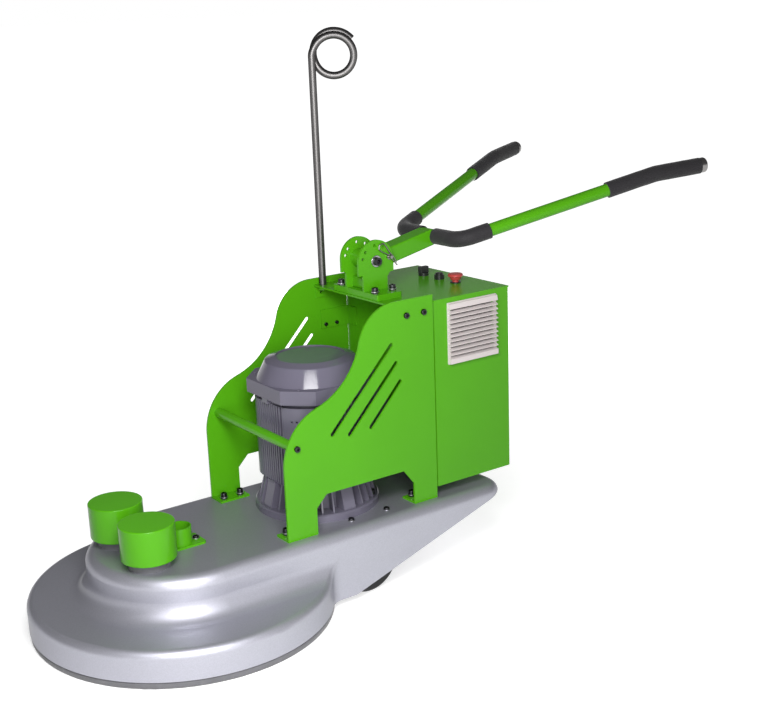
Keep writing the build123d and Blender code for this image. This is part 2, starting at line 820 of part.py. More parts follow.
# Shelf: top plate from the rear cover to the handle bracket, with side flanges
flange_low_z = 634.0
flange_t = 3.0
with BuildPart() as shelf_plate:
    with BuildSketch(Plane.XY.offset(shelf_under_z)):
        with Locations(((box_front_x + box_rear_x) / 2, 0)):
            Rectangle(box_rear_x - box_front_x, 2 * plate_half)
        with Locations(((shelf_front_x + box_front_x) / 2, 0)):
            Rectangle(box_front_x - shelf_front_x, 2 * plate_in)
        with Locations((mast_x, mast_y)):
            Circle(mast_r, mode=Mode.SUBTRACT)
        with Locations(*base_points):
            Circle(5, mode=Mode.SUBTRACT)
        with Locations(*[(control_x, y) for y in (selector_y, start_y, estop_y)]):
            Circle(11, mode=Mode.SUBTRACT)
    extrude(amount=shelf_t)
    for side in (-1, 1):
        face_y = plate_in - flange_t if side < 0 else -plate_in
        with BuildSketch(Plane.XZ.offset(face_y)):
            with Locations(((shelf_front_x + plate_rear_x) / 2, (flange_low_z + shelf_under_z + 1) / 2)):
                Rectangle(plate_rear_x - shelf_front_x - 8, shelf_under_z + 1 - flange_low_z)
            with Locations(*shelf_bolt_points):
                Circle(4, mode=Mode.SUBTRACT)
        extrude(amount=flange_t)
    with BuildSketch(Plane((mast_x, mast_y, shelf_under_z))):
        Circle(mast_r + 3)
        Circle(mast_r, mode=Mode.SUBTRACT)
    extrude(amount=mast_foot_z - shelf_under_z)
save(shelf_plate, "shelf_plate")

# Angle brackets that tie the front of the control box to the side plates
tie_low_z, tie_high_z, tie_t = 552.0, 600.0, 3.0
tie_front_x = 528.0
tie_points = [(541, 562), (574, 562)]
tie_in = plate_in - tie_t
with BuildPart() as box_brackets:
    for side in (-1, 1):
        with BuildSketch(Plane.XY.offset(tie_low_z)):
            with Locations(((tie_front_x + box_front_x) / 2, side * (plate_in - tie_t / 2))):
                Rectangle(box_front_x - tie_front_x, tie_t)
            with Locations((box_front_x - tie_t / 2, side * (plate_in - 18))):
                Rectangle(tie_t, 36)
        extrude(amount=tie_high_z - tie_low_z)
    with BuildSketch(Plane.XZ):
        with Locations(*tie_points):
            Circle(screw_r)
    extrude(amount=plate_in, both=True, mode=Mode.SUBTRACT)
save(box_brackets, "box_brackets")

# Small screws of the box: six in the rear cover, two in each angle bracket
cover_screw_planes = [Plane((box_rear_x, y, z), z_dir=(1, 0, 0)) for y, z in cover_screw_points]
tie_screw_planes = [Plane((x, s * tie_in, z), z_dir=(0, -s, 0)) for x, z in tie_points for s in (-1, 1)]
box_screws = bolt_group([(cover_screw_planes, sheet_t), (tie_screw_planes, tie_t)], 5, 3.5, screw_r)
save(box_screws, "box_screws")

# Frame bolts: low caps on the wheel brackets, spigot, spacer rod and shelf, tall ones on the feet
low_bolts = bolt_group(
    [
        (facing_up(spigot_points, deck_z + plate_t), plate_t + shell_t),
        (facing_up(bracket_points, deck_z), shell_t + bracket_t),
        (facing_side([spacer_point], -plate_half) + facing_side([spacer_point], plate_half), 30),
        (facing_side(shelf_bolt_points, -plate_half), plate_t + flange_t),
        (facing_side(shelf_bolt_points, plate_half), plate_t + flange_t),
    ],
    cap_r=7,
    cap_h=6,
    shank_r=4,
)
foot_bolts = bolt_group([(facing_up(foot_points, deck_z + plate_t), plate_t + shell_t)], 7.5, 16, 4)
with BuildPart() as frame_bolts:
    add(low_bolts.part)
    add(foot_bolts.part)
save(frame_bolts, "frame_bolts")

# Louvred grille on the left wall, with its fan behind it
slat_count = 10
frame_w, frame_d, grille_depth = 8.0, 3.0, 11.0
top_band, low_band = 14.0, 18.0
grille_low_z, grille_high_z = grille_z - grille_size / 2, grille_z + grille_size / 2
slat_pitch = (grille_size - top_band - low_band) / (slat_count + 0.5)
with BuildPart() as vent_grille:
    with BuildSketch(Plane.XZ.offset(plate_half)):
        with Locations((grille_x, grille_z)):
            RectangleRounded(grille_size, grille_size, 2)
            Rectangle(grille_size - 2 * frame_w, grille_size - 2 * frame_w, mode=Mode.SUBTRACT)
    extrude(amount=frame_d)
    out_y, in_y = -plate_half - grille_depth, -plate_half
    with BuildSketch(Plane.YZ.offset(grille_x - grille_size / 2 + 1)):
        Polygon(
            (in_y, grille_high_z - top_band),
            (out_y, grille_high_z - top_band - 1),
            (out_y + 3, grille_high_z - 3),
            (in_y, grille_high_z - 1),
            align=None,
        )
        Polygon(
            (in_y, grille_low_z + 1),
            (out_y, grille_low_z + 2),
            (out_y, grille_low_z + low_band - 4),
            (in_y, grille_low_z + low_band),
            align=None,
        )
        for i in range(slat_count):
            z = grille_low_z + low_band + (i + 0.75) * slat_pitch
            Polygon((out_y, z - 4), (out_y, z - 2), (in_y, z + 2.5), (in_y, z + 0.5), align=None)
    extrude(amount=grille_size - 2)
save(vent_grille, "vent_grille")

fan_half, fan_depth, fan_bore = 59.5, 38.0, 56.0
fan_back_y = -plate_half + sheet_t + fan_depth
with BuildPart() as fan_frame:
    with BuildSketch(Plane.XZ.offset(-fan_back_y)):
        with Locations((grille_x, grille_z)):
            RectangleRounded(2 * fan_half, 2 * fan_half, 6)
            Circle(fan_bore, mode=Mode.SUBTRACT)
    extrude(amount=fan_depth)
    with BuildSketch(Plane.XZ.offset(-fan_back_y)):
        with Locations((grille_x, grille_z)):
            Circle(20)
            with PolarLocations(fan_bore / 2 + 9, 3, start_angle=30):
                Rectangle(fan_bore - 10, 6)
    extrude(amount=4)
save(fan_frame, "vent_fan_frame")

blade_low_y = fan_back_y - 5.5
with BuildPart() as fan_rotor:
    with BuildSketch(Plane.XZ.offset(-blade_low_y)):
        with Locations((grille_x, grille_z)):
            Circle(20)
    extrude(amount=28)
    hub_mid_y = blade_low_y - 14
    for i in range(7):
        spin = radians(i * 360 / 7)
        blade_plane = Plane(
            (grille_x + 18 * cos(spin), hub_mid_y, grille_z + 18 * sin(spin)),
            x_dir=(-sin(spin) * 0.72, 0.69, cos(spin) * 0.72),
            z_dir=(cos(spin), 0, sin(spin)),
        )
        with BuildSketch(blade_plane):
            Rectangle(28, 2)
        extrude(amount=36)
save(fan_rotor, "vent_fan_rotor")

# Frequency inverter inside the box, against its front wall
inverter_x = box_front_x + sheet_t
with BuildPart() as inverter:
    with BuildSketch(Plane((inverter_x, 60, 280), x_dir=(1, 0, 0), z_dir=(0, 0, 1))):
        with Locations((65, 0)):
            RectangleRounded(130, 120, 4)
        for i in range(9):
            with Locations((8, -48 + 12 * i)):
                Rectangle(32, 6, mode=Mode.SUBTRACT)
    extrude(amount=210)
save(inverter, "frequency_inverter")

# Handle bracket: base plate, two indexed cheeks, spacer block and pivot bolt
base_t = 14.0
base_top_z = shelf_z + base_t
neck_x0, neck_x1 = 516.0, 586.0
head_low_z = 721.0
cheek_out = cheek_in + cheek_t
pivot_r = 10.0
with BuildPart() as handle_base_plate:
    with BuildSketch(Plane.XY.offset(shelf_z)):
        with Locations(((neck_x0 + neck_x1 + 2) / 2, 0)):
            RectangleRounded(neck_x1 - neck_x0 + 2, 186, 4)
        with Locations(*base_points):
            Circle(5, mode=Mode.SUBTRACT)
    extrude(amount=base_t)
save(handle_base_plate, "handle_base_plate")


def index_point(angle):
    return (pivot_x + index_r * cos(radians(angle)), pivot_z + index_r * sin(radians(angle)))


with BuildPart() as index_cheeks:
    for first_y in (cheek_in, -cheek_out):
        with BuildSketch(Plane.XZ.offset(first_y)):
            with Locations((pivot_x, pivot_z)):
                Circle(head_r)
            with Locations((pivot_x, (head_low_z + pivot_z) / 2)):
                Rectangle(2 * head_r, pivot_z - head_low_z)
            with Locations(((neck_x0 + neck_x1) / 2, (base_top_z + head_low_z) / 2)):
                Rectangle(neck_x1 - neck_x0, head_low_z - base_top_z)
            with Locations((pivot_x, pivot_z)):
                Circle(pivot_r, mode=Mode.SUBTRACT)
            with Locations(*[index_point(a) for a in index_angles]):
                Circle(pin_r + run_gap, mode=Mode.SUBTRACT)
        extrude(amount=cheek_t)
save(index_cheeks, "index_cheeks")

with BuildPart() as bracket_block:
    with BuildSketch(Plane.XZ.offset(-cheek_in)):
        with Locations((551, base_top_z + 13)):
            RectangleRounded(34, 26, 3)
    extrude(amount=2 * cheek_in)
save(bracket_block, "bracket_block")

bracket_bolts = bolt_group([(facing_up(base_points, base_top_z), base_t + shelf_t)], 8, 14, 5)
save(bracket_bolts, "handle_bracket_bolts")

with BuildPart() as pivot_bolt:
    with BuildSketch(Plane.XZ.offset(-cheek_out)):
        with Locations((pivot_x, pivot_z)):
            Circle(pivot_r)
    extrude(amount=2 * cheek_out)
    with BuildSketch(Plane.XZ.offset(cheek_out)):
        with Locations((pivot_x, pivot_z)):
            Circle(14)
    extrude(amount=2)
    with BuildSketch(Plane.XZ.offset(cheek_out)):
        with Locations((pivot_x, pivot_z)):
            Circle(10)
    extrude(amount=11)
    with BuildSketch(Plane.XZ.offset(cheek_out + 11)):
        with Locations((pivot_x, pivot_z)):
            RegularPolygon(5.5, 6)
    extrude(amount=-6, mode=Mode.SUBTRACT)
    with BuildSketch(Plane.XZ.offset(-cheek_out)):
        with Locations((pivot_x, pivot_z)):
            RegularPolygon(15, 6)
    extrude(amount=-10)
save(pivot_bolt, "pivot_bolt")

# Handle: stem on the pivot, with the cam that rests on the lock pin, and the bent bar
up_x, up_z = cos(radians(rise)), sin(radians(rise))
stem_origin = Vector(pivot_x + stem_drop * up_z, 0, pivot_z - stem_drop * up_x)
handle_plane = Plane(stem_origin, x_dir=(up_x, 0, up_z), z_dir=(-up_z, 0, up_x))
stem_section = Plane(stem_origin, x_dir=(0, 1, 0), z_dir=(up_x, 0, up_z))
hub_half_y = cheek_in - 0.4
cam_in, cam_out, cam_r = cheek_in - 6.6, cheek_in - 0.6, 46.0
cam_start = index_angles[0] + degrees(asin((pin_r + 0.6) / index_r))
stem_end = bar_u - 9
with BuildPart() as handle_stem:
    with BuildSketch(stem_section.offset(10)):
        RectangleRounded(stem_w, stem_h, 4)
        RectangleRounded(stem_w - 8, stem_h - 8, 2, mode=Mode.SUBTRACT)
    extrude(amount=stem_end - 10)
    with BuildSketch(Plane.XZ.offset(-hub_half_y)):
        with Locations((pivot_x, pivot_z)):
            Circle(23)
    extrude(amount=2 * hub_half_y)
    with BuildSketch(Plane.XZ.offset(cam_in)):
        with BuildLine():
            rest_edge = PolarLine((pivot_x, pivot_z), cam_r, cam_start)
            rim_arc = CenterArc((pivot_x, pivot_z), cam_r, cam_start, 85)
            Line(rim_arc @ 1, rest_edge @ 0)
        make_face()
    extrude(amount=cam_out - cam_in)
    with BuildSketch(Plane.XZ.offset(-hub_half_y)):
        with Locations((pivot_x, pivot_z)):
            Circle(pivot_r + run_gap)
    extrude(amount=2 * hub_half_y, mode=Mode.SUBTRACT)
    bar_middle = handle_plane.from_local_coords((bar_u, 0, 0))
    with BuildSketch(Plane(bar_middle, x_dir=(1, 0, 0), z_dir=(0, -1, 0)).offset(-stem_w)):
        Circle(bar_r)
    extrude(amount=2 * stem_w, mode=Mode.SUBTRACT)
save(handle_stem, "handle_stem")

arm = tan(radians(splay))
lift = tan(radians(arm_lift))
grip_start_u, sleeve_end_u = 561.0, 268.0
grip_bend = 120.0
grip_reach = grip_len * cos(radians(grip_dip))
tip = (
    grip_u + grip_reach * cos(radians(splay)),
    corner_y + (grip_u - bar_u) * arm + grip_reach * sin(radians(splay)),
    (grip_u - bar_u) * lift - grip_len * sin(radians(grip_dip)),
)


def arm_point(u, side):
    return (u, side * (corner_y + (u - bar_u) * arm), (u - bar_u) * lift)


def bar_route(side):
    """Right or left half of the bar, from its corner out to the tip."""
    return [arm_point(bar_u, side), arm_point(grip_u, side), (tip[0], side * tip[1], tip[2])]


def tubes_along(routes, bends, outer, inner):
    """Round tubes swept on straight runs joined by tangent arcs."""
    with BuildPart() as tubes:
        for points in routes:
            with BuildLine(handle_plane) as route:
                FilletPolyline(*points, radius=bends)
            path = route.wires()[0]
            with BuildSketch(Plane(path @ 0, z_dir=path % 0)):
                Circle(outer)
                Circle(inner, mode=Mode.SUBTRACT)
            sweep(path=path)
    return tubes


bar_points = bar_route(-1)[::-1] + bar_route(1)
handle_bar = tubes_along([bar_points], [grip_bend, bar_bend, bar_bend, grip_bend], bar_r, bar_r - 3)
save(handle_bar, "handle_bar")

sleeve_start_y = stem_w / 2 + 1
sleeve_routes = [
    [(bar_u, side * sleeve_start_y, 0), arm_point(bar_u, side), arm_point(sleeve_end_u, side)]
    for side in (-1, 1)
]
handle_sleeves = tubes_along(sleeve_routes, [bar_bend], sleeve_r, bar_r)
save(handle_sleeves, "handle_sleeves")

grip_routes = [[arm_point(grip_start_u, side)] + bar_route(side)[1:] for side in (-1, 1)]
handle_grips = tubes_along(grip_routes, [grip_bend], sleeve_r, bar_r)
save(handle_grips, "handle_grips")

with BuildPart() as grip_caps:
    for side in (-1, 1):
        outward = handle_plane.from_local_coords((tip[0], side * tip[1], tip[2]))
        bend = handle_plane.from_local_coords(arm_point(grip_u, side))
        with BuildSketch(Plane(outward, z_dir=outward - bend)):
            Circle(sleeve_r - 2)
        extrude(amount=4)
save(grip_caps, "grip_end_caps")

# Lock pin through the left cheek, with the hairpin clip that keeps it there
pin_x, pin_z = index_point(index_angles[0])
pin_tip_y = cam_in - 0.2
clip_y, clip_r, clip_slope = cheek_out + 6, 1.4, 48.0
clip_dx, clip_dz = cos(radians(clip_slope)), -sin(radians(clip_slope))
pin_end_y = clip_y + 7
with BuildPart() as lock_pin:
    with BuildSketch(Plane.XZ.offset(pin_tip_y)):
        with Locations((pin_x, pin_z)):
            Circle(pin_r)
    extrude(amount=pin_end_y - pin_tip_y)
    with BuildSketch(Plane.XZ.offset(cheek_out + 0.5)):
        with Locations((pin_x, pin_z)):
            Circle(pin_r + 2.5)
    extrude(amount=3)
    with BuildSketch(Plane((pin_x, -clip_y, pin_z), z_dir=(clip_dx, 0, clip_dz))):
        Circle(clip_r)
    extrude(amount=10, both=True, mode=Mode.SUBTRACT)
save(lock_pin, "lock_pin")

clip_route = (
    (30, 0), (-8, 0), (-27, -7.5), (-38, -9), (-45, 0),
    (-38, 10), (-26, 9.5), (-10, 6.8), (6, 6.8), (24, 3.2),
)
with BuildPart() as clip:
    with BuildLine(Plane.XZ.offset(clip_y)) as clip_line:
        FilletPolyline(
            *[(pin_x + a * clip_dx - b * clip_dz, pin_z + a * clip_dz + b * clip_dx) for a, b in clip_route],
            radius=4,
        )
    clip_path = clip_line.wires()[0]
    with BuildSketch(Plane(clip_path @ 0, z_dir=clip_path % 0)):
        Circle(clip_r)
    sweep(path=clip_path)
save(clip, "hairpin_clip")

# Cable mast: rod through the shelf, bent over into a pigtail loop
loop_z = 1224.0
loop_off, loop_r, loop_widen, loop_pitch = 53.4, 47.5, 9.5, 20.0
loop_turn, loop_step = 500, 20
loop_x_dir = Vector(0.839, -0.544, 0)
loop_depth_dir = Vector(0.544, 0.839, 0)


def loop_point(turn):
    """Point of the loop after so many degrees of turning from the upright."""
    closing = max(0, 1 - turn / 110) ** 2
    opening = min(1, max(0, (turn - 330) / 110))
    radius = loop_r + (loop_off - loop_r) * closing + loop_widen * opening * opening * (3 - 2 * opening)
    across = loop_off - radius * cos(radians(turn))
    height = radius * sin(radians(turn))
    depth = loop_pitch * turn / 360
    return Vector(mast_x, mast_y, loop_z + height) + loop_x_dir * across + loop_depth_dir * depth


with BuildPart() as cable_mast:
    with BuildLine() as mast_line:
        run = Line((mast_x, mast_y, mast_foot_z), (mast_x, mast_y, loop_z))
        loop_points = [loop_point(turn) for turn in range(0, loop_turn + 1, loop_step)]
        loop_end = (loop_point(loop_turn) - loop_point(loop_turn - 2)).normalized()
        Spline(*loop_points, tangents=[run % 1, loop_end], tangent_scalars=[1, 1])
    mast_path = mast_line.wires()[0]
    with BuildSketch(Plane.XY.offset(mast_foot_z)):
        with Locations((mast_x, mast_y)):
            Circle(mast_r)
    sweep(path=mast_path)
save(cable_mast, "cable_mast")


def control_base(y, bezel_r, bezel_h, bore):
    """Bezel on the shelf, threaded neck through it and contact block below, bored for the moving part."""
    with BuildPart() as base:
        with BuildSketch(Plane((control_x, y, shelf_z))):
            Circle(bezel_r)
        extrude(amount=bezel_h)
        with BuildSketch(Plane((control_x, y, shelf_z))):
            Circle(11)
        extrude(amount=-shelf_t)
        with BuildSketch(Plane((control_x, y, shelf_under_z))):
            RectangleRounded(30, 30, 3)
        extrude(amount=-40)
        with BuildSketch(Plane((control_x, y, shelf_z + bezel_h))):
            Circle(bore)
        extrude(amount=-bezel_h - 16, mode=Mode.SUBTRACT)
    return base


def control_head(y, profile):
    """Turned head of a control, from its own half section in radius and height above the shelf."""
    with BuildPart() as head:
        with BuildSketch(Plane.XZ.offset(-y)):
            with Locations((control_x, shelf_z)):
                Polygon(*profile, align=None)
        revolve(axis=Axis((control_x, y, 0), (0, 0, 1)))
    return head


# Controls on the shelf: selector, start button and emergency stop
estop_stem_r, start_r, selector_stem_r = 8.0, 9.5, 5.0
estop_base = control_base(estop_y, 13, 3, estop_stem_r + run_gap)
save(estop_base, "estop_base")
estop_profile = (
    (0, -9), (estop_stem_r, -9), (estop_stem_r, 8.5), (12.5, 8.5), (15.5, 16),
    (18.75, 17), (18.75, 21), (17, 23), (0, 24),
)
estop_head = control_head(estop_y, estop_profile)
save(estop_head, "estop_head")

start_base = control_base(start_y, 12.5, 11, start_r + run_gap)
save(start_base, "start_button_base")
start_button = control_head(start_y, ((0, -7), (start_r, -7), (start_r, 15), (start_r - 1.5, 16), (0, 16)))
save(start_button, "start_button")

selector_base = control_base(selector_y, 13, 8, selector_stem_r + run_gap)
save(selector_base, "selector_base")
with BuildPart() as selector_knob:
    with BuildSketch(Plane((control_x, selector_y, shelf_z - 6))):
        Circle(selector_stem_r)
    extrude(amount=15)
    with BuildSketch(Plane((control_x, selector_y, shelf_z + 8.4))):
        RectangleRounded(26, 13, 2)
    extrude(amount=14.5)
save(selector_knob, "selector_knob")
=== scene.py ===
"""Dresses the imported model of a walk-behind floor polisher: paint, foam, steel and rubber,
its bolt heads, soft pad and grips, and a plain studio round it. Lengths are in metres."""
import json
from math import cos, pi, radians, sin, tan

import bmesh
import bpy
from bpy.props import FloatProperty, FloatVectorProperty, IntProperty, PointerProperty
from mathutils import Matrix, Vector, noise as smooth_noise


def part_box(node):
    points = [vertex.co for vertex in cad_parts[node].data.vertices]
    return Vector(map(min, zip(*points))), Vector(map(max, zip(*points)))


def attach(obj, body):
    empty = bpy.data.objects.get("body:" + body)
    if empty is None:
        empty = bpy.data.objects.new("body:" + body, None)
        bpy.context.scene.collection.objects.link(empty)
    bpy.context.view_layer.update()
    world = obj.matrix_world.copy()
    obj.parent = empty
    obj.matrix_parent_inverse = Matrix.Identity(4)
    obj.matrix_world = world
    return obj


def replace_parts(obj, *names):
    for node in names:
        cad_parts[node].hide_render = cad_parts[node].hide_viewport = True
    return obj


bl_info = {
    "name": "Floor polisher",
    "version": (1, 0, 0),
    "blender": (4, 5, 0),
    "location": "View3D > Sidebar > Polisher",
    "description": "Finishes, bolts, soft pieces and a studio for a walk-behind floor polisher",
    "category": "Object",
}

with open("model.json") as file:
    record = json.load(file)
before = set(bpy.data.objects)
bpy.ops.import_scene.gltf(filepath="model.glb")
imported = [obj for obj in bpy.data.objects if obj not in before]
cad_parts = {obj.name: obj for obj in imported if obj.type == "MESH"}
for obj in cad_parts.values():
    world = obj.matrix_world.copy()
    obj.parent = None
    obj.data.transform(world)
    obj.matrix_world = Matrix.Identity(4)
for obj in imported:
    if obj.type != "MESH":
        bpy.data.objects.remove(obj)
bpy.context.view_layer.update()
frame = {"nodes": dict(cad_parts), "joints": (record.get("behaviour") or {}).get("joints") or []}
nodes = frame["nodes"]
pad_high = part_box("polishing_pad")[1]


# Kinds of property

def colour_prop(label, note, default):
    return FloatVectorProperty(
        name=label, description=note, subtype="COLOR", size=3, min=0.0, max=1.0, default=default
    )


def place_prop(label, note, default):
    return FloatVectorProperty(name=label, description=note, subtype="TRANSLATION", unit="LENGTH", default=default)


def length_prop(label, note, default):
    return FloatProperty(name=label, description=note, unit="LENGTH", default=default)


def angle_prop(label, note, degrees):
    return FloatProperty(name=label, description=note, subtype="ANGLE", default=radians(degrees))


def power_prop(label, note, default):
    return FloatProperty(name=label, description=note, unit="POWER", default=default)


def share_prop(label, note, default):
    return FloatProperty(name=label, description=note, default=default)


class PolisherFinishes(bpy.types.PropertyGroup):
    """Colours of the machine's finishes."""

    green: colour_prop("Green coat", "Powder coat of plates, box, handle, spigot and weights", (0.073, 0.325, 0.006))
    silver: colour_prop("Deck silver", "Metallic paint of the deck and skirt", (0.435, 0.435, 0.492))
    motor: colour_prop("Motor grey", "Paint of the motor", (0.118, 0.11, 0.148))
    grille: colour_prop("Grille grey", "Moulded louvre grille", (0.58, 0.527, 0.522))
    foam: colour_prop("Foam black", "Foam of the sleeves and grips", (0.019, 0.0175, 0.02))
    rubber: colour_prop("Rubber black", "Tyres and belt", (0.02, 0.02, 0.021))
    plastic: colour_prop("Control black", "Black mouldings", (0.012, 0.012, 0.013))
    wheel: colour_prop("Wheel grey", "Moulded wheel rims", (0.2, 0.2, 0.215))
    stop: colour_prop("Stop red", "Head of the emergency stop", (0.44, 0.05, 0.05))
    steel: colour_prop("Bright steel", "Pin, clip, grip caps, posts and axles", (0.3, 0.29, 0.285))
    mast: colour_prop("Stainless", "Cable mast, shafts and bearings", (0.125, 0.121, 0.12))
    oxide: colour_prop("Black oxide", "Cap bolts", (0.05, 0.05, 0.054))
    zinc: colour_prop("Zinc", "Plated wheel brackets and washers", (0.46, 0.46, 0.48))
    iron: colour_prop("Cast iron", "Pulleys and spindle housing", (0.16, 0.16, 0.165))
    fibre: colour_prop("Pad fibre", "Polishing pad", (0.14, 0.14, 0.15))
    buffer: colour_prop("Buffer grey", "Rubber discs under the weights", (0.11, 0.11, 0.12))


class PolisherStudio(bpy.types.PropertyGroup):
    """Camera, floor, room and lamps."""

    eye: place_prop("Eye", "Place of the camera", (-1.154882, -2.43662, 1.325985))
    azimuth: angle_prop("Azimuth", "Turn of the view about the upright", -33.983)
    elevation: angle_prop("Elevation", "Height of the view above the horizon", 15.614)
    roll: angle_prop("Roll", "Turn of the picture about its middle", -2.566)
    lens: FloatProperty(name="Lens", description="Focal length on a 36 mm sensor", unit="CAMERA", default=59.574)
    shift_x: share_prop("Shift across", "Sideways shift of the frame", 0.0432)
    shift_y: share_prop("Shift up", "Upward shift of the frame", 0.0074)
    floor: length_prop("Floor", "Half width of the floor", 900.0)
    floor_drop: length_prop("Floor drop", "Gap between the floor and the pad", 0.0005)
    floor_grey: share_prop("Floor grey", "Reflectance of the floor", 0.61)
    floor_lift: share_prop("Floor lift", "Light added to the floor's picture at the machine", 0.62)
    lift_near: length_prop("Lift near", "Distance from which the floor grows whiter", 0.8)
    lift_far: length_prop("Lift far", "Distance at which the floor is white", 4.0)
    ambient: share_prop("Ambient", "Light of the room", 0.16)
    ceiling: share_prop("Ceiling", "Grey of the room above its pale foot", 0.12)
    wall_low: share_prop("Wall low", "Sine of the height at which the room starts to darken", 0.02)
    wall_high: share_prop("Wall high", "Sine of the height at which the room has its grey", 0.24)
    lamp: place_prop("Lamp", "Place of the softbox before the machine", (-0.46, -1.25, 1.5))
    lamp_width: length_prop("Lamp width", "Width of the softbox", 0.81)
    lamp_height: length_prop("Lamp height", "Height of the softbox", 0.38)
    lamp_power: power_prop("Lamp power", "Power of the softbox", 27.4)
    front: place_prop("Front", "Place of the low soft light at the front", (-0.51, -1.49, 0.81))
    front_size: length_prop("Front size", "Side of the front light", 1.26)
    front_power: power_prop("Front power", "Power of the front light", 24.7)
    fill: place_prop("Fill", "Place of the soft light behind the machine", (2.35, 2.3, 0.95))
    fill_size: length_prop("Fill size", "Side of the soft light behind", 2.4)
    fill_power: power_prop("Fill power", "Power of the soft light behind", 80.0)
    aim: place_prop("Aim", "Point that the lamps face", (0.35, 0.0, 0.4))


class PolisherSizes(bpy.types.PropertyGroup):
    """Sizes of the pieces that are made here."""

    bolt_sides: IntProperty(name="Bolt sides", description="Sides of a round bolt head", default=24, min=12)
    socket: share_prop("Socket", "Hexagon socket, as a share of the head", 0.56)
    socket_depth: share_prop("Socket depth", "Depth of the socket, as a share of the head's height", 0.6)
    head_edge: share_prop("Head edge", "Rounding of a bolt head, as a share of its radius", 0.14)
    tall_head: share_prop("Tall head", "Height over radius past which a bolt has a nut", 1.6)
    nut_height: share_prop("Nut height", "Nut below a tall bolt, as a share of its height", 0.42)
    nut_radius: share_prop("Nut radius", "Corners of the nut, as a share of the head", 1.05)
    washer: share_prop("Washer", "Washer's size, as a share of the head", 1.28)
    washer_t: length_prop("Washer height", "Thickness of a washer", 0.002)
    washer_edge: share_prop("Washer edge", "Broken edge, as a share of the washer's thickness", 0.3)
    pivot_washer: length_prop("Pivot washer", "Radius of the washer at the pivot", 0.0142)
    pivot_washer_t: length_prop("Pivot washer height", "Thickness of the washer at the pivot", 0.0022)
    handle_rise: angle_prop("Handle rise", "Slope of the handle", 12.0)
    stem_drop: length_prop("Stem drop", "Stem's axis below the pivot", 0.008)
    bar_run: length_prop("Bar run", "Cross bar's axis from the pivot", 0.195)
    bar_half: length_prop("Bar half", "Corner of the bar from the middle", 0.1175)
    splay: angle_prop("Splay", "Angle of an arm to the stem, seen from above", 20.4)
    arm_lift: angle_prop("Arm lift", "Angle of an arm to the stem, seen from the side", 2.65)
    sleeve_start: length_prop("Sleeve start", "Inner end of a sleeve from the middle", 0.026)
    sleeve_end: length_prop("Sleeve end", "Outer end of a sleeve from the pivot", 0.268)
    sleeve_bend: length_prop("Sleeve bend", "Radius of the bar's corner", 0.05)
    grip_start: length_prop("Grip start", "Inner end of a grip from the pivot", 0.561)
    grip_corner: length_prop("Grip corner", "Bend of a grip from the pivot", 0.683)
    grip_bend: length_prop("Grip bend", "Radius of a grip's bend", 0.12)
    grip_tip: place_prop("Grip tip", "Run of a grip past its bend", (0.12404, 0.04613, -0.01321))
    foam_radius: length_prop("Foam radius", "Outside of the foam", 0.02)
    foam_edge: length_prop("Foam edge", "Rounding of the foam's ends", 0.003)
    foam_grain: length_prop("Foam grain", "Unevenness of the foam", 0.0004)
    foam_pitch: share_prop("Foam pitch", "Bumps of the foam in a metre", 45.0)
    cap_radius: length_prop("Cap radius", "Outside of a grip's end cap", 0.0188)
    cap_length: length_prop("Cap length", "Cap that shows past the foam", 0.013)
    cap_proud: length_prop("Cap proud", "Cap beyond the bar's end", 0.004)
    cap_dome: length_prop("Cap dome", "Rounding of a cap's end", 0.007)
    cap_sides: IntProperty(name="Cap sides", description="Sides of a grip's end cap", default=48, min=12)
    pad_edge: length_prop("Pad edge", "Rounding of the pad's rim", 0.004)
    pad_reach: length_prop("Pad reach", "Radius of the pad where it swells below the skirt", 0.349)
    pad_waist: length_prop("Pad waist", "Height up to which the pad swells", 0.0155)
    pad_tuft: length_prop("Pad tuft", "Unevenness of the pad's rim", 0.0015)
    tuft_pitch: share_prop("Tuft pitch", "Tufts of the pad's rim in a metre", 120.0)
    pad_steps: IntProperty(name="Pad steps", description="Steps round the pad", default=192, min=48)


def finishes():
    return bpy.context.scene.polisher_finishes


def studio():
    return bpy.context.scene.polisher_studio


def sizes():
    return bpy.context.scene.polisher_sizes


# Node helpers and the effects that several finishes share

def add_node(tree, kind, **settings):
    node = tree.nodes.new(kind)
    for key, value in settings.items():
        setattr(node, key, value)
    return node


def feed(tree, value, socket):
    """Links an output socket, or writes a plain value, into an input socket."""
    if isinstance(value, bpy.types.NodeSocket):
        tree.links.new(value, socket)
    else:
        socket.default_value = value


def maths(tree, operation, first, second, third=None):
    node = add_node(tree, "ShaderNodeMath", operation=operation)
    feed(tree, first, node.inputs[0])
    feed(tree, second, node.inputs[1])
    if third is not None:
        feed(tree, third, node.inputs[2])
    return node.outputs[0]


def scaled(tree, tint, gain):
    """A colour times a value."""
    node = add_node(tree, "ShaderNodeVectorMath", operation="SCALE")
    tree.links.new(tint, node.inputs[0])
    tree.links.new(gain, node.inputs["Scale"])
    return node.outputs[0]


def noise_on(tree, place, scale, detail=2.0):
    node = add_node(tree, "ShaderNodeTexNoise")
    node.inputs["Detail"].default_value = detail
    tree.links.new(place, node.inputs["Vector"])
    feed(tree, scale, node.inputs["Scale"])
    return node.outputs["Fac"]


def object_place(tree):
    return add_node(tree, "ShaderNodeTexCoord").outputs["Object"]


def ramp(tree, value, low, high, at_low, at_high):
    """Runs from one level to another as a value goes from low to high."""
    node = add_node(tree, "ShaderNodeMapRange", interpolation_type="SMOOTHSTEP")
    tree.links.new(value, node.inputs["Value"])
    for key, level in zip(("From Min", "From Max", "To Min", "To Max"), (low, high, at_low, at_high)):
        node.inputs[key].default_value = level
    return node.outputs["Result"]


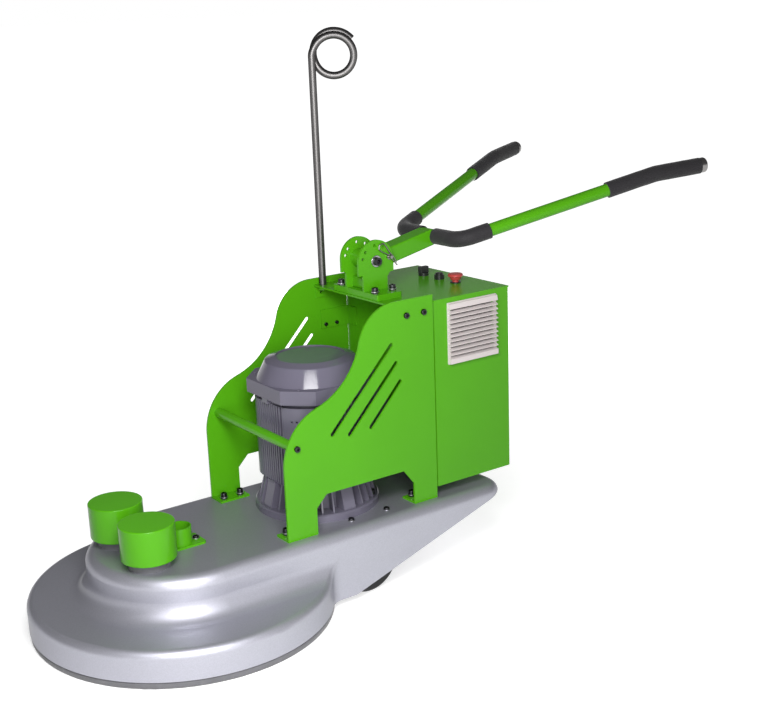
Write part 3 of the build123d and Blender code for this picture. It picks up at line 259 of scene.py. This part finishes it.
def seen_directly(tree):
    """One for rays from the camera, from a mirror or through glass, and zero for scattered light."""
    path = add_node(tree, "ShaderNodeLightPath")
    seen = maths(tree, "MAXIMUM", path.outputs["Is Camera Ray"], path.outputs["Is Glossy Ray"])
    return maths(tree, "MAXIMUM", seen, path.outputs["Is Transmission Ray"])


def node_group(name, inputs, outputs):
    """An empty shader group with its sockets, and its input and output nodes."""
    group = bpy.data.node_groups.new(name, "ShaderNodeTree")
    for label, kind, default in inputs:
        group.interface.new_socket(label, in_out="INPUT", socket_type=kind).default_value = default
    for label, kind in outputs:
        group.interface.new_socket(label, in_out="OUTPUT", socket_type=kind)
    return group, group.nodes.new("NodeGroupInput"), group.nodes.new("NodeGroupOutput")


def build_drift():
    """Slow drift of colour and gloss over a surface."""
    group, given, put = node_group(
        "Drift",
        [("Color", "NodeSocketColor", (0.5, 0.5, 0.5, 1.0)), ("Roughness", "NodeSocketFloat", 0.4),
         ("Scale", "NodeSocketFloat", 8.0), ("Amount", "NodeSocketFloat", 0.1)],
        [("Color", "NodeSocketColor"), ("Roughness", "NodeSocketFloat")],
    )
    cloud = noise_on(group, object_place(group), given.outputs["Scale"], detail=5.0)
    swing = maths(group, "MULTIPLY", maths(group, "SUBTRACT", cloud, 0.5), given.outputs["Amount"])
    gain = maths(group, "MULTIPLY_ADD", swing, 2.0, 1.0)
    group.links.new(scaled(group, given.outputs["Color"], gain), put.inputs["Color"])
    group.links.new(maths(group, "MULTIPLY", given.outputs["Roughness"], gain), put.inputs["Roughness"])
    return group


def build_skin():
    """Fine skin of sprayed, moulded or foamed surfaces, as a height."""
    group, given, put = node_group(
        "Skin",
        [("Scale", "NodeSocketFloat", 300.0), ("Coarse", "NodeSocketFloat", 0.5)],
        [("Height", "NodeSocketFloat")],
    )
    place = object_place(group)
    fine = noise_on(group, place, given.outputs["Scale"])
    broad = noise_on(group, place, maths(group, "MULTIPLY", given.outputs["Scale"], 0.2))
    group.links.new(maths(group, "MULTIPLY_ADD", broad, given.outputs["Coarse"], fine), put.inputs["Height"])
    return group


def build_flake():
    """Bright and dull specks of metallic paint, on a colour."""
    group, given, put = node_group(
        "Flake",
        [("Color", "NodeSocketColor", (0.5, 0.5, 0.5, 1.0)), ("Scale", "NodeSocketFloat", 700.0),
         ("Amount", "NodeSocketFloat", 0.2)],
        [("Color", "NodeSocketColor")],
    )
    cells = add_node(group, "ShaderNodeTexVoronoi")
    group.links.new(object_place(group), cells.inputs["Vector"])
    group.links.new(given.outputs["Scale"], cells.inputs["Scale"])
    parts = add_node(group, "ShaderNodeSeparateColor")
    group.links.new(cells.outputs["Color"], parts.inputs[0])
    swing = maths(group, "SUBTRACT", parts.outputs[0], 0.5)
    gain = maths(group, "MULTIPLY_ADD", swing, given.outputs["Amount"], 1.0)
    group.links.new(scaled(group, given.outputs["Color"], gain), put.inputs["Color"])
    return group


def build_drawn_lines():
    """Fine drawn lines in metal, as a height; Stretch is small along the lines."""
    group, given, put = node_group(
        "Drawn lines", [("Stretch", "NodeSocketVector", (900.0, 900.0, 9.0))], [("Height", "NodeSocketFloat")]
    )
    mapping = add_node(group, "ShaderNodeMapping")
    group.links.new(object_place(group), mapping.inputs["Vector"])
    group.links.new(given.outputs["Stretch"], mapping.inputs["Scale"])
    group.links.new(noise_on(group, mapping.outputs[0], 1.0), put.inputs["Height"])
    return group


effect_builders = {
    "Drift": build_drift,
    "Skin": build_skin,
    "Flake": build_flake,
    "Drawn lines": build_drawn_lines,
}


def effect(tree, name, **values):
    """A shared effect placed in a material with its own values."""
    group = bpy.data.node_groups.get(name) or effect_builders[name]()
    node = add_node(tree, "ShaderNodeGroup", node_tree=group)
    for key, value in values.items():
        if key == "Color" and not isinstance(value, bpy.types.NodeSocket):
            value = (*value, 1.0)
        feed(tree, value, node.inputs[key])
    return node.outputs


def new_finish(name, **plain):
    """A material with its Principled shader; plain values go on the shader's own sockets."""
    material = bpy.data.materials.new(name)
    material.use_nodes = True
    shader = material.node_tree.nodes["Principled BSDF"]
    for key, value in plain.items():
        shader.inputs[key.replace("_", " ")].default_value = value
    return material, material.node_tree, shader


def lay_on(tree, shader, drift, height, depth):
    """Links a drifting gloss and a bump height to the shader."""
    tree.links.new(drift["Roughness"], shader.inputs["Roughness"])
    relief = add_node(tree, "ShaderNodeBump")
    relief.inputs["Distance"].default_value = depth
    tree.links.new(height, relief.inputs["Height"])
    tree.links.new(relief.outputs["Normal"], shader.inputs["Normal"])


def sprayed(name, tint, rough, amount=0.06, grain=260.0, depth=0.00004, **plain):
    """Paint, powder coat or moulded plastic: a slow drift of colour over a fine skin."""
    material, tree, shader = new_finish(name, **plain)
    drift = effect(tree, "Drift", Color=tint, Roughness=rough, Scale=5.0, Amount=amount)
    tree.links.new(drift["Color"], shader.inputs["Base Color"])
    lay_on(tree, shader, drift, effect(tree, "Skin", Scale=grain, Coarse=0.8)["Height"], depth)
    return material


def silver_paint(name):
    """Metallic paint under a clear coat, with fine specks."""
    material, tree, shader = new_finish(
        name, Metallic=0.75, Specular_IOR_Level=0.5,
        Specular_Tint=(0.05, 0.05, 0.05, 1.0), Coat_Weight=0.4, Coat_Roughness=0.08,
    )
    drift = effect(tree, "Drift", Color=finishes().silver, Roughness=0.49, Scale=4.0, Amount=0.06)
    flake = effect(tree, "Flake", Color=drift["Color"], Scale=620.0, Amount=0.1)
    tree.links.new(flake["Color"], shader.inputs["Base Color"])
    lay_on(tree, shader, drift, effect(tree, "Skin", Scale=240.0, Coarse=0.9)["Height"], 0.00003)
    return material


def soft(name, tint, rough, grain, depth, sheen=0.15):
    """Foam, rubber or fibre: matt, uneven in colour, with a coarse skin."""
    material, tree, shader = new_finish(name, Sheen_Weight=sheen, Specular_IOR_Level=0.3)
    drift = effect(tree, "Drift", Color=tint, Roughness=rough, Scale=30.0, Amount=0.3)
    tree.links.new(drift["Color"], shader.inputs["Base Color"])
    lay_on(tree, shader, drift, effect(tree, "Skin", Scale=grain, Coarse=0.6)["Height"], depth)
    return material


def metal(name, tint, rough, stretch, edge=1.0):
    """Bare, plated or blackened metal with fine drawn lines; edge dims it where it turns away."""
    material, tree, shader = new_finish(name, Metallic=1.0, Specular_Tint=(edge, edge, edge, 1.0))
    drift = effect(tree, "Drift", Color=tint, Roughness=rough, Scale=14.0, Amount=0.14)
    tree.links.new(drift["Color"], shader.inputs["Base Color"])
    lay_on(tree, shader, drift, effect(tree, "Drawn lines", Stretch=stretch)["Height"], 0.000008)
    return material


# Stretch of the drawn lines, small along them
along_z = (900.0, 900.0, 9.0)
along_y = (900.0, 9.0, 900.0)
every_way = (500.0, 500.0, 500.0)

finish_makers = {
    "green_coat": lambda name: sprayed(name, finishes().green, 0.19, Specular_IOR_Level=0.2),
    "motor_paint": lambda name: sprayed(name, finishes().motor, 0.3, 0.1, 420.0, 0.00006),
    "cowl_paint": lambda name: sprayed(name, finishes().motor, 0.1, 0.06, 200.0, 0.00002, Specular_IOR_Level=0.3),
    "deck_silver": silver_paint,
    "grille_grey": lambda name: sprayed(name, finishes().grille, 0.45, 0.05, 900.0),
    "black_plastic": lambda name: sprayed(name, finishes().plastic, 0.35, 0.1, 900.0, 0.00005),
    "wheel_grey": lambda name: sprayed(name, finishes().wheel, 0.45, 0.1, 900.0, 0.00005),
    "stop_red": lambda name: sprayed(name, finishes().stop, 0.35, 0.08, 900.0),
    "foam": lambda name: soft(name, finishes().foam, 0.78, 1400.0, 0.0002),
    "rubber": lambda name: soft(name, finishes().rubber, 0.6, 800.0, 0.0001),
    "grey_rubber": lambda name: soft(name, finishes().buffer, 0.6, 800.0, 0.0001),
    "pad_fibre": lambda name: soft(name, finishes().fibre, 0.9, 600.0, 0.0008, 0.4),
    "stainless": lambda name: metal(name, finishes().mast, 0.42, along_z, 0.0),
    "turned_steel": lambda name: metal(name, finishes().steel, 0.28, along_y),
    "zinc": lambda name: metal(name, finishes().zinc, 0.36, every_way),
    "black_oxide": lambda name: metal(name, finishes().oxide, 0.34, every_way),
    "cast_iron": lambda name: metal(name, finishes().iron, 0.5, every_way),
}


def finish(name):
    """The material of a finish, made at its first use."""
    label = "finish_" + name
    return bpy.data.materials.get(label) or finish_makers[name](label)


def dress(finish_name, *names):
    """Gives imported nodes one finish."""
    for name in names:
        nodes[name].data.materials.clear()
        nodes[name].data.materials.append(finish(finish_name))


# Mesh helpers

def make_piece(name, shape, finish_name, body, smooth=40.0):
    """A new object from a bmesh, with its finish, on its body."""
    mesh = bpy.data.meshes.new(name)
    shape.to_mesh(mesh)
    shape.free()
    mesh.shade_smooth()
    mesh.set_sharp_from_angle(angle=radians(smooth))
    mesh.materials.append(finish(finish_name))
    piece = bpy.data.objects.new(name, mesh)
    bpy.context.scene.collection.objects.link(piece)
    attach(piece, body)
    return piece


def merged_copy(node):
    """A bmesh of a node's mesh with its loose triangles joined."""
    shape = bmesh.new()
    shape.from_mesh(nodes[node].data)
    bmesh.ops.remove_doubles(shape, verts=shape.verts, dist=1e-6)
    return shape


def islands(node):
    """The points of each separate solid of a node."""
    shape = merged_copy(node)
    seen = set()
    groups = []
    for start in shape.verts:
        if start in seen:
            continue
        seen.add(start)
        group, queue = [], [start]
        while queue:
            vert = queue.pop()
            group.append(vert.co.copy())
            for edge in vert.link_edges:
                other = edge.other_vert(vert)
                if other not in seen:
                    seen.add(other)
                    queue.append(other)
        groups.append(group)
    shape.free()
    return groups


def bolt_seats(node):
    """Seat point, outward direction, radius and height of each bolt head in a node.

    A bolt lies along the axis at both of whose ends it has a ring of points, and its head is at the wider end.
    """
    ring_points, touch, rim_share = 8, 1e-5, 0.98
    seats = []
    for points in islands(node):
        low = Vector(min(p[k] for p in points) for k in range(3))
        high = Vector(max(p[k] for p in points) for k in range(3))
        middle = (low + high) / 2
        for k in range(3):
            axis = Vector(i == k for i in range(3))
            reach = [(round(p[k], 6), (p - middle - (p[k] - middle[k]) * axis).length) for p in points]
            ends = [[r for c, r in reach if abs(c - end) < touch] for end in (low[k], high[k])]
            if min(len(end) for end in ends) < ring_points:
                continue
            radii = [max(end) for end in ends]
            sign = 1 if radii[1] > radii[0] else -1
            radius = max(radii)
            rims = sorted({c for c, r in reach if r > radius * rim_share}, key=lambda c: c * sign)
            seat = middle.copy()
            seat[k] = rims[0]
            seats.append((seat, axis * sign, radius, abs(rims[-1] - rims[0])))
            break
    return seats


def add_disc(shape, radius, low, high, sides):
    """A closed round block between two heights; gives back its new vertices."""
    move = Matrix.Translation((0, 0, (low + high) / 2))
    made = bmesh.ops.create_cone(
        shape, cap_ends=True, segments=sides, radius1=radius, radius2=radius, depth=high - low, matrix=move
    )
    return made["verts"]


def rim_edges(verts, height):
    """Edges among these vertices that lie at one height."""
    edges = dict.fromkeys(edge for vert in verts for edge in vert.link_edges)
    return [edge for edge in edges if all(abs(v.co.z - height) < 1e-7 for v in edge.verts)]


def washer_ring(shape, radius, low, high):
    """A flat washer with a broken upper edge."""
    size = sizes()
    ring = add_disc(shape, radius * size.washer, low, high, size.bolt_sides)
    bmesh.ops.bevel(shape, geom=rim_edges(ring, high), offset=(high - low) * size.washer_edge, affect="EDGES",
                    segments=1, profile=0.5, material=-1)


def cap_bolt(shape, radius, foot, height):
    """A cap bolt's head with a rounded rim and a hexagon socket, from its foot up to its height."""
    size = sizes()
    head = add_disc(shape, radius, foot, height, size.bolt_sides)
    lid = max({f for v in head for f in v.link_faces}, key=lambda f: f.calc_center_median().z)
    edge = size.head_edge * radius
    bmesh.ops.bevel(shape, geom=list(lid.edges), offset=edge, affect="EDGES",
                    segments=3, profile=0.5, material=-1)
    lid = max(shape.faces, key=lambda f: (round(f.calc_center_median().z, 6), f.calc_area()))
    mouth = radius * size.socket
    bmesh.ops.inset_region(shape, faces=[lid], thickness=radius - edge - mouth)
    # The socket's mouth goes from round to a hexagon, and a copy of it then sinks to its floor
    for vert in lid.verts:
        turn = Vector((vert.co.x, vert.co.y)).angle_signed(Vector((1, 0)))
        lean = (turn % (pi / 3)) - pi / 6
        reach = mouth * cos(pi / 6) / cos(lean)
        vert.co.x, vert.co.y = reach * cos(turn), reach * sin(turn)
    bmesh.ops.inset_region(shape, faces=[lid], thickness=0.0, depth=0.0)
    depth = (height - foot) * size.socket_depth
    bmesh.ops.translate(shape, verts=lid.verts, vec=(0, 0, -depth))


def stand_on(whole, part, seat, outward):
    """Adds a small shape to a larger one, moved from z = 0 on to its seat."""
    turn = Vector((0, 0, 1)).rotation_difference(outward).to_matrix().to_4x4()
    bmesh.ops.transform(part, matrix=Matrix.Translation(seat) @ turn, verts=part.verts)
    mesh = bpy.data.meshes.new("small_part")
    part.to_mesh(mesh)
    part.free()
    whole.from_mesh(mesh)
    bpy.data.meshes.remove(mesh)


def set_bolts(name, seats, washer_t=0.0):
    """Black cap bolts on their seats as one piece, with a nut below a tall one, and bright washers as another."""
    size = sizes()
    heads, rings = bmesh.new(), bmesh.new()
    for seat, outward, radius, height in seats:
        head = bmesh.new()
        foot = washer_t
        if height > size.tall_head * radius:
            foot = height * size.nut_height
            add_disc(head, radius * size.nut_radius, 0.0, foot - washer_t, 6)
        cap_bolt(head, radius, foot, height)
        stand_on(heads, head, seat, outward)
        if washer_t:
            ring = bmesh.new()
            washer_ring(ring, radius, foot - washer_t, foot)
            stand_on(rings, ring, seat, outward)
    if washer_t:
        make_piece(name.replace("bolts", "washers"), rings, "zinc", "frame", smooth=35.0)
    else:
        rings.free()
    return make_piece(name, heads, "black_oxide", "frame", smooth=35.0)


def handle_place():
    """The handle's own frame: x along the stem, y across, z up from it."""
    size = sizes()
    pivot = next(Vector(joint["pos_m"]) for joint in frame["joints"] if joint["name"] == "handle_tilt")
    turn = Matrix.Rotation(-size.handle_rise, 4, "Y")
    return Matrix.Translation(pivot) @ turn @ Matrix.Translation((0, 0, -size.stem_drop))


def foam_piece(name, node, runs, bend):
    """Foam tubes on bent runs: a smooth swept rod with rounded ends, slightly uneven."""
    size = sizes()
    curve = bpy.data.curves.new(name, "CURVE")
    curve.dimensions = "3D"
    curve.bevel_depth = size.foam_radius
    curve.bevel_resolution = 7
    curve.resolution_u = 24
    curve.use_fill_caps = True
    for start, corner, end in runs:
        before, after = (corner - start).normalized(), (end - corner).normalized()
        turn = before.angle(after)
        cut = bend * tan(turn / 2)
        pull = bend * tan(turn / 4) * 4 / 3
        first, last = corner - before * cut, corner + after * cut
        spline = curve.splines.new("BEZIER")
        spline.bezier_points.add(3)
        knots = [(start, before, (first - start).length / 3), (first, before, pull),
                 (last, after, pull), (end, after, (end - last).length / 3)]
        for point, (place, along, reach) in zip(spline.bezier_points, knots):
            point.co = place
            point.handle_left = place - along * reach
            point.handle_right = place + along * reach
    rod = bpy.data.objects.new(name + "_rod", curve)
    bpy.context.scene.collection.objects.link(rod)
    mesh = bpy.data.meshes.new_from_object(rod.evaluated_get(bpy.context.evaluated_depsgraph_get()))
    shape = bmesh.new()
    shape.from_mesh(mesh)
    bpy.data.objects.remove(rod)
    bpy.data.curves.remove(curve)
    bpy.data.meshes.remove(mesh)
    bmesh.ops.remove_doubles(shape, verts=shape.verts, dist=1e-6)
    bmesh.ops.recalc_face_normals(shape, faces=shape.faces)
    caps = [face for face in shape.faces if len(face.verts) > 8]
    bmesh.ops.bevel(shape, geom=[edge for cap in caps for edge in cap.edges], offset=size.foam_edge,
                    affect="EDGES", segments=4, profile=0.5, material=-1)
    shape.normal_update()
    for vert in shape.verts:
        vert.co += vert.normal * (smooth_noise.noise(vert.co * size.foam_pitch) - 0.5) * size.foam_grain
    piece = make_piece(name, shape, "foam", "handle", smooth=60.0)
    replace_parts(piece, node)
    return piece


# Operators, one for each group of pieces

class POLISHER_OT_stage(bpy.types.Operator):
    """Floor, lamps, room light and camera"""

    bl_idname = "polisher.stage"
    bl_label = "Stage"

    def execute(self, context):
        scene = context.scene
        scene.view_settings.view_transform = "Standard"
        self.lay_floor(scene)
        self.light_room(scene)
        self.set_camera(scene)
        return {"FINISHED"}

    def lay_floor(self, scene):
        view = studio()
        shape = bmesh.new()
        bmesh.ops.create_grid(shape, x_segments=1, y_segments=1, size=view.floor,
                              matrix=Matrix.Translation((0, 0, -view.floor_drop)))
        mesh = bpy.data.meshes.new("floor")
        shape.to_mesh(mesh)
        shape.free()
        floor = bpy.data.objects.new("floor", mesh)
        scene.collection.objects.link(floor)
        material = bpy.data.materials.new("floor_paper")
        material.use_nodes = True
        tree = material.node_tree
        tree.nodes.clear()
        matt = add_node(tree, "ShaderNodeBsdfDiffuse")
        matt.inputs["Color"].default_value = (view.floor_grey,) * 3 + (1.0,)
        lift = add_node(tree, "ShaderNodeEmission")
        away = add_node(tree, "ShaderNodeVectorMath", operation="LENGTH")
        tree.links.new(object_place(tree), away.inputs[0])
        level = ramp(tree, away.outputs["Value"], view.lift_near, view.lift_far, view.floor_lift, 1.0)
        tree.links.new(maths(tree, "MULTIPLY", seen_directly(tree), level), lift.inputs["Strength"])
        both = add_node(tree, "ShaderNodeAddShader")
        tree.links.new(matt.outputs[0], both.inputs[0])
        tree.links.new(lift.outputs[0], both.inputs[1])
        tree.links.new(both.outputs[0], add_node(tree, "ShaderNodeOutputMaterial").inputs["Surface"])
        mesh.materials.append(material)

    def light_room(self, scene):
        view = studio()
        world = bpy.data.worlds.new("studio_room")
        world.use_nodes = True
        tree = world.node_tree
        height = add_node(tree, "ShaderNodeSeparateXYZ")
        tree.links.new(add_node(tree, "ShaderNodeTexCoord").outputs["Generated"], height.inputs[0])
        wall = ramp(tree, height.outputs["Z"], view.wall_low, view.wall_high, 1.0, view.ceiling)
        mix = add_node(tree, "ShaderNodeMix")
        tree.links.new(seen_directly(tree), mix.inputs["Factor"])
        mix.inputs["A"].default_value = view.ambient
        tree.links.new(wall, mix.inputs["B"])
        tree.links.new(mix.outputs["Result"], tree.nodes["Background"].inputs["Strength"])
        tree.nodes["Background"].inputs["Color"].default_value = (1.0, 1.0, 1.0, 1.0)
        scene.world = world
        self.hang_lamp(scene, "softbox", view.lamp, view.lamp_width, view.lamp_height, view.lamp_power)
        self.hang_lamp(scene, "front", view.front, view.front_size, view.front_size, view.front_power)
        back = self.hang_lamp(scene, "fill", view.fill, view.fill_size, view.fill_size, view.fill_power)
        back.visible_glossy = False

    def hang_lamp(self, scene, name, place, width, height, power):
        """A soft oblong lamp that faces the machine and isn't seen by the camera."""
        data = bpy.data.lights.new(name, "AREA")
        data.shape = "RECTANGLE"
        data.size, data.size_y, data.energy = width, height, power
        lamp = bpy.data.objects.new(name, data)
        lamp.location = place
        lamp.rotation_euler = (Vector(studio().aim) - lamp.location).to_track_quat("-Z", "Y").to_euler()
        lamp.visible_camera = False
        scene.collection.objects.link(lamp)
        return lamp

    def set_camera(self, scene):
        view = studio()
        a, e, r = view.azimuth, view.elevation, view.roll
        back = Vector((sin(a) * cos(e), -cos(a) * cos(e), sin(e)))
        right = Vector((cos(a), sin(a), 0.0))
        up = back.cross(right)
        across = cos(r) * right + sin(r) * up
        upward = cos(r) * up - sin(r) * right
        data = bpy.data.cameras.new("camera")
        data.sensor_width = 36.0
        data.lens = view.lens
        data.shift_x, data.shift_y = view.shift_x, view.shift_y
        data.clip_end = 5000.0
        camera = bpy.data.objects.new("camera", data)
        turn = Matrix((across, upward, back)).transposed().to_4x4()
        camera.matrix_world = Matrix.Translation(view.eye) @ turn
        scene.collection.objects.link(camera)
        scene.camera = camera


class POLISHER_OT_deck(bpy.types.Operator):
    """Silver deck and skirt, hose spigot, ballast weights with their posts and buffers"""

    bl_idname = "polisher.deck"
    bl_label = "Deck and weights"

    def execute(self, context):
        dress("deck_silver", "deck_body")
        dress("green_coat", "hose_spigot", "weight_left", "weight_right")
        dress("grey_rubber", "weight_buffers")
        dress("turned_steel", "weight_posts")
        return {"FINISHED"}


class POLISHER_OT_pad(bpy.types.Operator):
    """Fibre polishing pad with a soft rim"""

    bl_idname = "polisher.pad"
    bl_label = "Polishing pad"

    def execute(self, context):
        size = sizes()
        radius, top, edge, reach, waist = pad_high.x, pad_high.z, size.pad_edge, size.pad_reach, size.pad_waist
        shape = bmesh.new()
        nip, half = edge * 0.3, edge * 0.5
        line = [(0.0, 0.0), (radius * 0.5, 0.0), (reach - edge, 0.0), (reach - nip, nip), (reach, edge),
                (reach, waist - edge), (reach - nip, waist - nip), (radius, waist), (radius, top - half),
                (radius - half, top), (radius * 0.5, top), (0.0, top)]
        verts = [shape.verts.new((r, 0.0, z)) for r, z in line]
        edges = [shape.edges.new(pair) for pair in zip(verts, verts[1:])]
        bmesh.ops.spin(shape, geom=verts + edges, cent=(0, 0, 0), axis=(0, 0, 1), angle=2 * pi,
                       steps=size.pad_steps, use_merge=True)
        bmesh.ops.remove_doubles(shape, verts=shape.verts, dist=1e-6)
        bmesh.ops.recalc_face_normals(shape, faces=shape.faces)
        for vert in shape.verts:
            away = Vector((vert.co.x, vert.co.y)).length
            if away > radius - half:
                tuft = (0.5 + 0.5 * smooth_noise.noise(vert.co * size.tuft_pitch)) * size.pad_tuft
                vert.co.xy *= 1.0 - tuft / away
        pad = make_piece("pad_fleece", shape, "pad_fibre", "pad_head", smooth=60.0)
        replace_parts(pad, "polishing_pad")
        return {"FINISHED"}


class POLISHER_OT_drive(bpy.types.Operator):
    """Spindle, bearings, pulleys, belt and pad driver under the deck"""

    bl_idname = "polisher.drive"
    bl_label = "Drive"

    def execute(self, context):
        dress("cast_iron", "spindle_housing", "spindle_pulley", "drive_pulley")
        dress("stainless", "spindle", "motor_shaft", "spindle_bearings")
        dress("rubber", "drive_belt")
        dress("black_plastic", "pad_driver", "cooling_fan")
        return {"FINISHED"}


class POLISHER_OT_motor(bpy.types.Operator):
    """Painted motor: end shield, finned housing, fan cowl and terminal box"""

    bl_idname = "polisher.motor"
    bl_label = "Motor"

    def execute(self, context):
        dress("motor_paint", "motor_end_shield", "motor_housing", "terminal_box")
        dress("cowl_paint", "motor_fan_cowl")
        return {"FINISHED"}


class POLISHER_OT_side_frame(bpy.types.Operator):
    """Green side plates and the rod between them"""

    bl_idname = "polisher.side_frame"
    bl_label = "Side frame"

    def execute(self, context):
        dress("green_coat", "side_plate_left", "side_plate_right", "spacer_rod")
        return {"FINISHED"}


class POLISHER_OT_control_box(bpy.types.Operator):
    """Control box with its cover, shelf, brackets, grille and what is inside"""

    bl_idname = "polisher.control_box"
    bl_label = "Control box"

    def execute(self, context):
        dress("green_coat", "control_box_shell", "rear_cover", "shelf_plate", "box_brackets")
        dress("grille_grey", "vent_grille")
        dress("black_plastic", "vent_fan_frame", "vent_fan_rotor", "frequency_inverter", "cable_gland")
        return {"FINISHED"}


class POLISHER_OT_controls(bpy.types.Operator):
    """Emergency stop, start button and selector on the shelf"""

    bl_idname = "polisher.controls"
    bl_label = "Controls"

    def execute(self, context):
        dress("black_plastic", "start_button_base", "start_button", "selector_base", "selector_knob")
        dress("black_plastic", "estop_base")
        dress("stop_red", "estop_head")
        return {"FINISHED"}


class POLISHER_OT_handle(bpy.types.Operator):
    """Indexed bracket, stem, bent bar, lock pin and clip"""

    bl_idname = "polisher.handle"
    bl_label = "Handle"

    def execute(self, context):
        dress("green_coat", "handle_base_plate", "index_cheeks", "bracket_block", "handle_stem", "handle_bar")
        dress("turned_steel", "lock_pin", "hairpin_clip")
        dress("black_oxide", "pivot_bolt")
        size = sizes()
        low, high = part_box("pivot_bolt")
        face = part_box("index_cheeks")[0].y
        ring = bmesh.new()
        washer_ring(ring, size.pivot_washer / size.washer, 0.0, size.pivot_washer_t)
        plate = bmesh.new()
        stand_on(plate, ring, Vector(((low.x + high.x) / 2, face, (low.z + high.z) / 2)), Vector((0, -1, 0)))
        make_piece("pivot_washer", plate, "zinc", "frame", smooth=35.0)
        return {"FINISHED"}


class POLISHER_OT_foam(bpy.types.Operator):
    """Foam sleeves at the bar's corners, and foam grips with end caps"""

    bl_idname = "polisher.foam"
    bl_label = "Foam sleeves and grips"

    def execute(self, context):
        size = sizes()
        place = handle_place()
        sleeves, grips, ends = [], [], []
        for side in (-1, 1):
            inner = Vector((size.bar_run, side * size.sleeve_start, 0.0))
            sleeve = (inner, self.arm_point(side, size.bar_run), self.arm_point(side, size.sleeve_end))
            run, across, rise = size.grip_tip
            outward = Vector((run, side * across, rise))
            bend = self.arm_point(side, size.grip_corner)
            tip = bend + outward
            outward.normalize()
            grip = (self.arm_point(side, size.grip_start), bend, tip - outward * size.cap_length)
            sleeves.append([place @ point for point in sleeve])
            grips.append([place @ point for point in grip])
            ends.append((place @ tip, place.to_3x3() @ outward))
        foam_piece("foam_sleeves", "handle_sleeves", sleeves, size.sleeve_bend)
        foam_piece("foam_grips", "handle_grips", grips, size.grip_bend)
        self.cap_grips(ends)
        return {"FINISHED"}

    def arm_point(self, side, run):
        """A point on an arm's axis in the handle's own frame, by its run from the pivot."""
        size = sizes()
        past = run - size.bar_run
        return Vector((run, side * (size.bar_half + past * tan(size.splay)), past * tan(size.arm_lift)))

    def cap_grips(self, ends):
        """Domed steel caps over the bar's ends, from inside the foam."""
        size = sizes()
        caps = bmesh.new()
        for tip, outward in ends:
            cap = bmesh.new()
            foot = -size.cap_length - size.foam_edge
            plug = add_disc(cap, size.cap_radius, foot, size.cap_proud, size.cap_sides)
            bmesh.ops.bevel(cap, geom=rim_edges(plug, size.cap_proud), offset=size.cap_dome, affect="EDGES",
                            segments=6, profile=0.5, material=-1)
            stand_on(caps, cap, tip, outward)
        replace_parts(make_piece("grip_caps", caps, "turned_steel", "handle"), "grip_end_caps")


class POLISHER_OT_mast(bpy.types.Operator):
    """Stainless cable mast with its loop"""

    bl_idname = "polisher.mast"
    bl_label = "Cable mast"

    def execute(self, context):
        dress("stainless", "cable_mast")
        return {"FINISHED"}


class POLISHER_OT_wheels(bpy.types.Operator):
    """Transport wheels on their plated brackets and axles"""

    bl_idname = "polisher.wheels"
    bl_label = "Wheels"

    def execute(self, context):
        dress("rubber", "wheel_tyre_left", "wheel_tyre_right")
        dress("wheel_grey", "wheel_rim_left", "wheel_rim_right")
        dress("zinc", "wheel_brackets")
        dress("turned_steel", "wheel_axles")
        return {"FINISHED"}


class POLISHER_OT_bolts(bpy.types.Operator):
    """Cap bolts with hexagon sockets and washers"""

    bl_idname = "polisher.bolts"
    bl_label = "Bolts"

    def execute(self, context):
        thick = sizes().washer_t
        seats = bolt_seats("frame_bolts")
        upright = [seat for seat in seats if seat[1].z > 0.5]
        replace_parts(set_bolts("deck_bolts", upright, thick), "frame_bolts")
        set_bolts("plate_bolts", [seat for seat in seats if seat not in upright])
        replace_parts(set_bolts("flange_bolts", bolt_seats("motor_flange_bolts")), "motor_flange_bolts")
        bracket = bolt_seats("handle_bracket_bolts")
        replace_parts(set_bolts("bracket_bolts", bracket, thick), "handle_bracket_bolts")
        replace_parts(set_bolts("cover_screws", bolt_seats("box_screws")), "box_screws")
        return {"FINISHED"}


steps = (
    POLISHER_OT_stage,
    POLISHER_OT_deck,
    POLISHER_OT_pad,
    POLISHER_OT_drive,
    POLISHER_OT_motor,
    POLISHER_OT_side_frame,
    POLISHER_OT_control_box,
    POLISHER_OT_controls,
    POLISHER_OT_handle,
    POLISHER_OT_foam,
    POLISHER_OT_mast,
    POLISHER_OT_wheels,
    POLISHER_OT_bolts,
)


class POLISHER_PT_steps(bpy.types.Panel):
    """Lists the steps that dress the polisher"""

    bl_idname = "POLISHER_PT_steps"
    bl_label = "Floor polisher"
    bl_space_type = "VIEW_3D"
    bl_region_type = "UI"
    bl_category = "Polisher"

    def draw(self, context):
        for step in steps:
            self.layout.operator(step.bl_idname)


classes = (PolisherFinishes, PolisherStudio, PolisherSizes, *steps, POLISHER_PT_steps)


def register():
    for cls in classes:
        bpy.utils.register_class(cls)
    bpy.types.Scene.polisher_finishes = PointerProperty(type=PolisherFinishes)
    bpy.types.Scene.polisher_studio = PointerProperty(type=PolisherStudio)
    bpy.types.Scene.polisher_sizes = PointerProperty(type=PolisherSizes)


def unregister():
    del bpy.types.Scene.polisher_finishes
    del bpy.types.Scene.polisher_studio
    del bpy.types.Scene.polisher_sizes
    for cls in reversed(classes):
        bpy.utils.unregister_class(cls)


def main():
    register()
    bpy.ops.polisher.stage()
    bpy.ops.polisher.deck()
    bpy.ops.polisher.pad()
    bpy.ops.polisher.drive()
    bpy.ops.polisher.motor()
    bpy.ops.polisher.side_frame()
    bpy.ops.polisher.control_box()
    bpy.ops.polisher.controls()
    bpy.ops.polisher.handle()
    bpy.ops.polisher.foam()
    bpy.ops.polisher.mast()
    bpy.ops.polisher.wheels()
    bpy.ops.polisher.bolts()


if __name__ == "__main__":
    main()
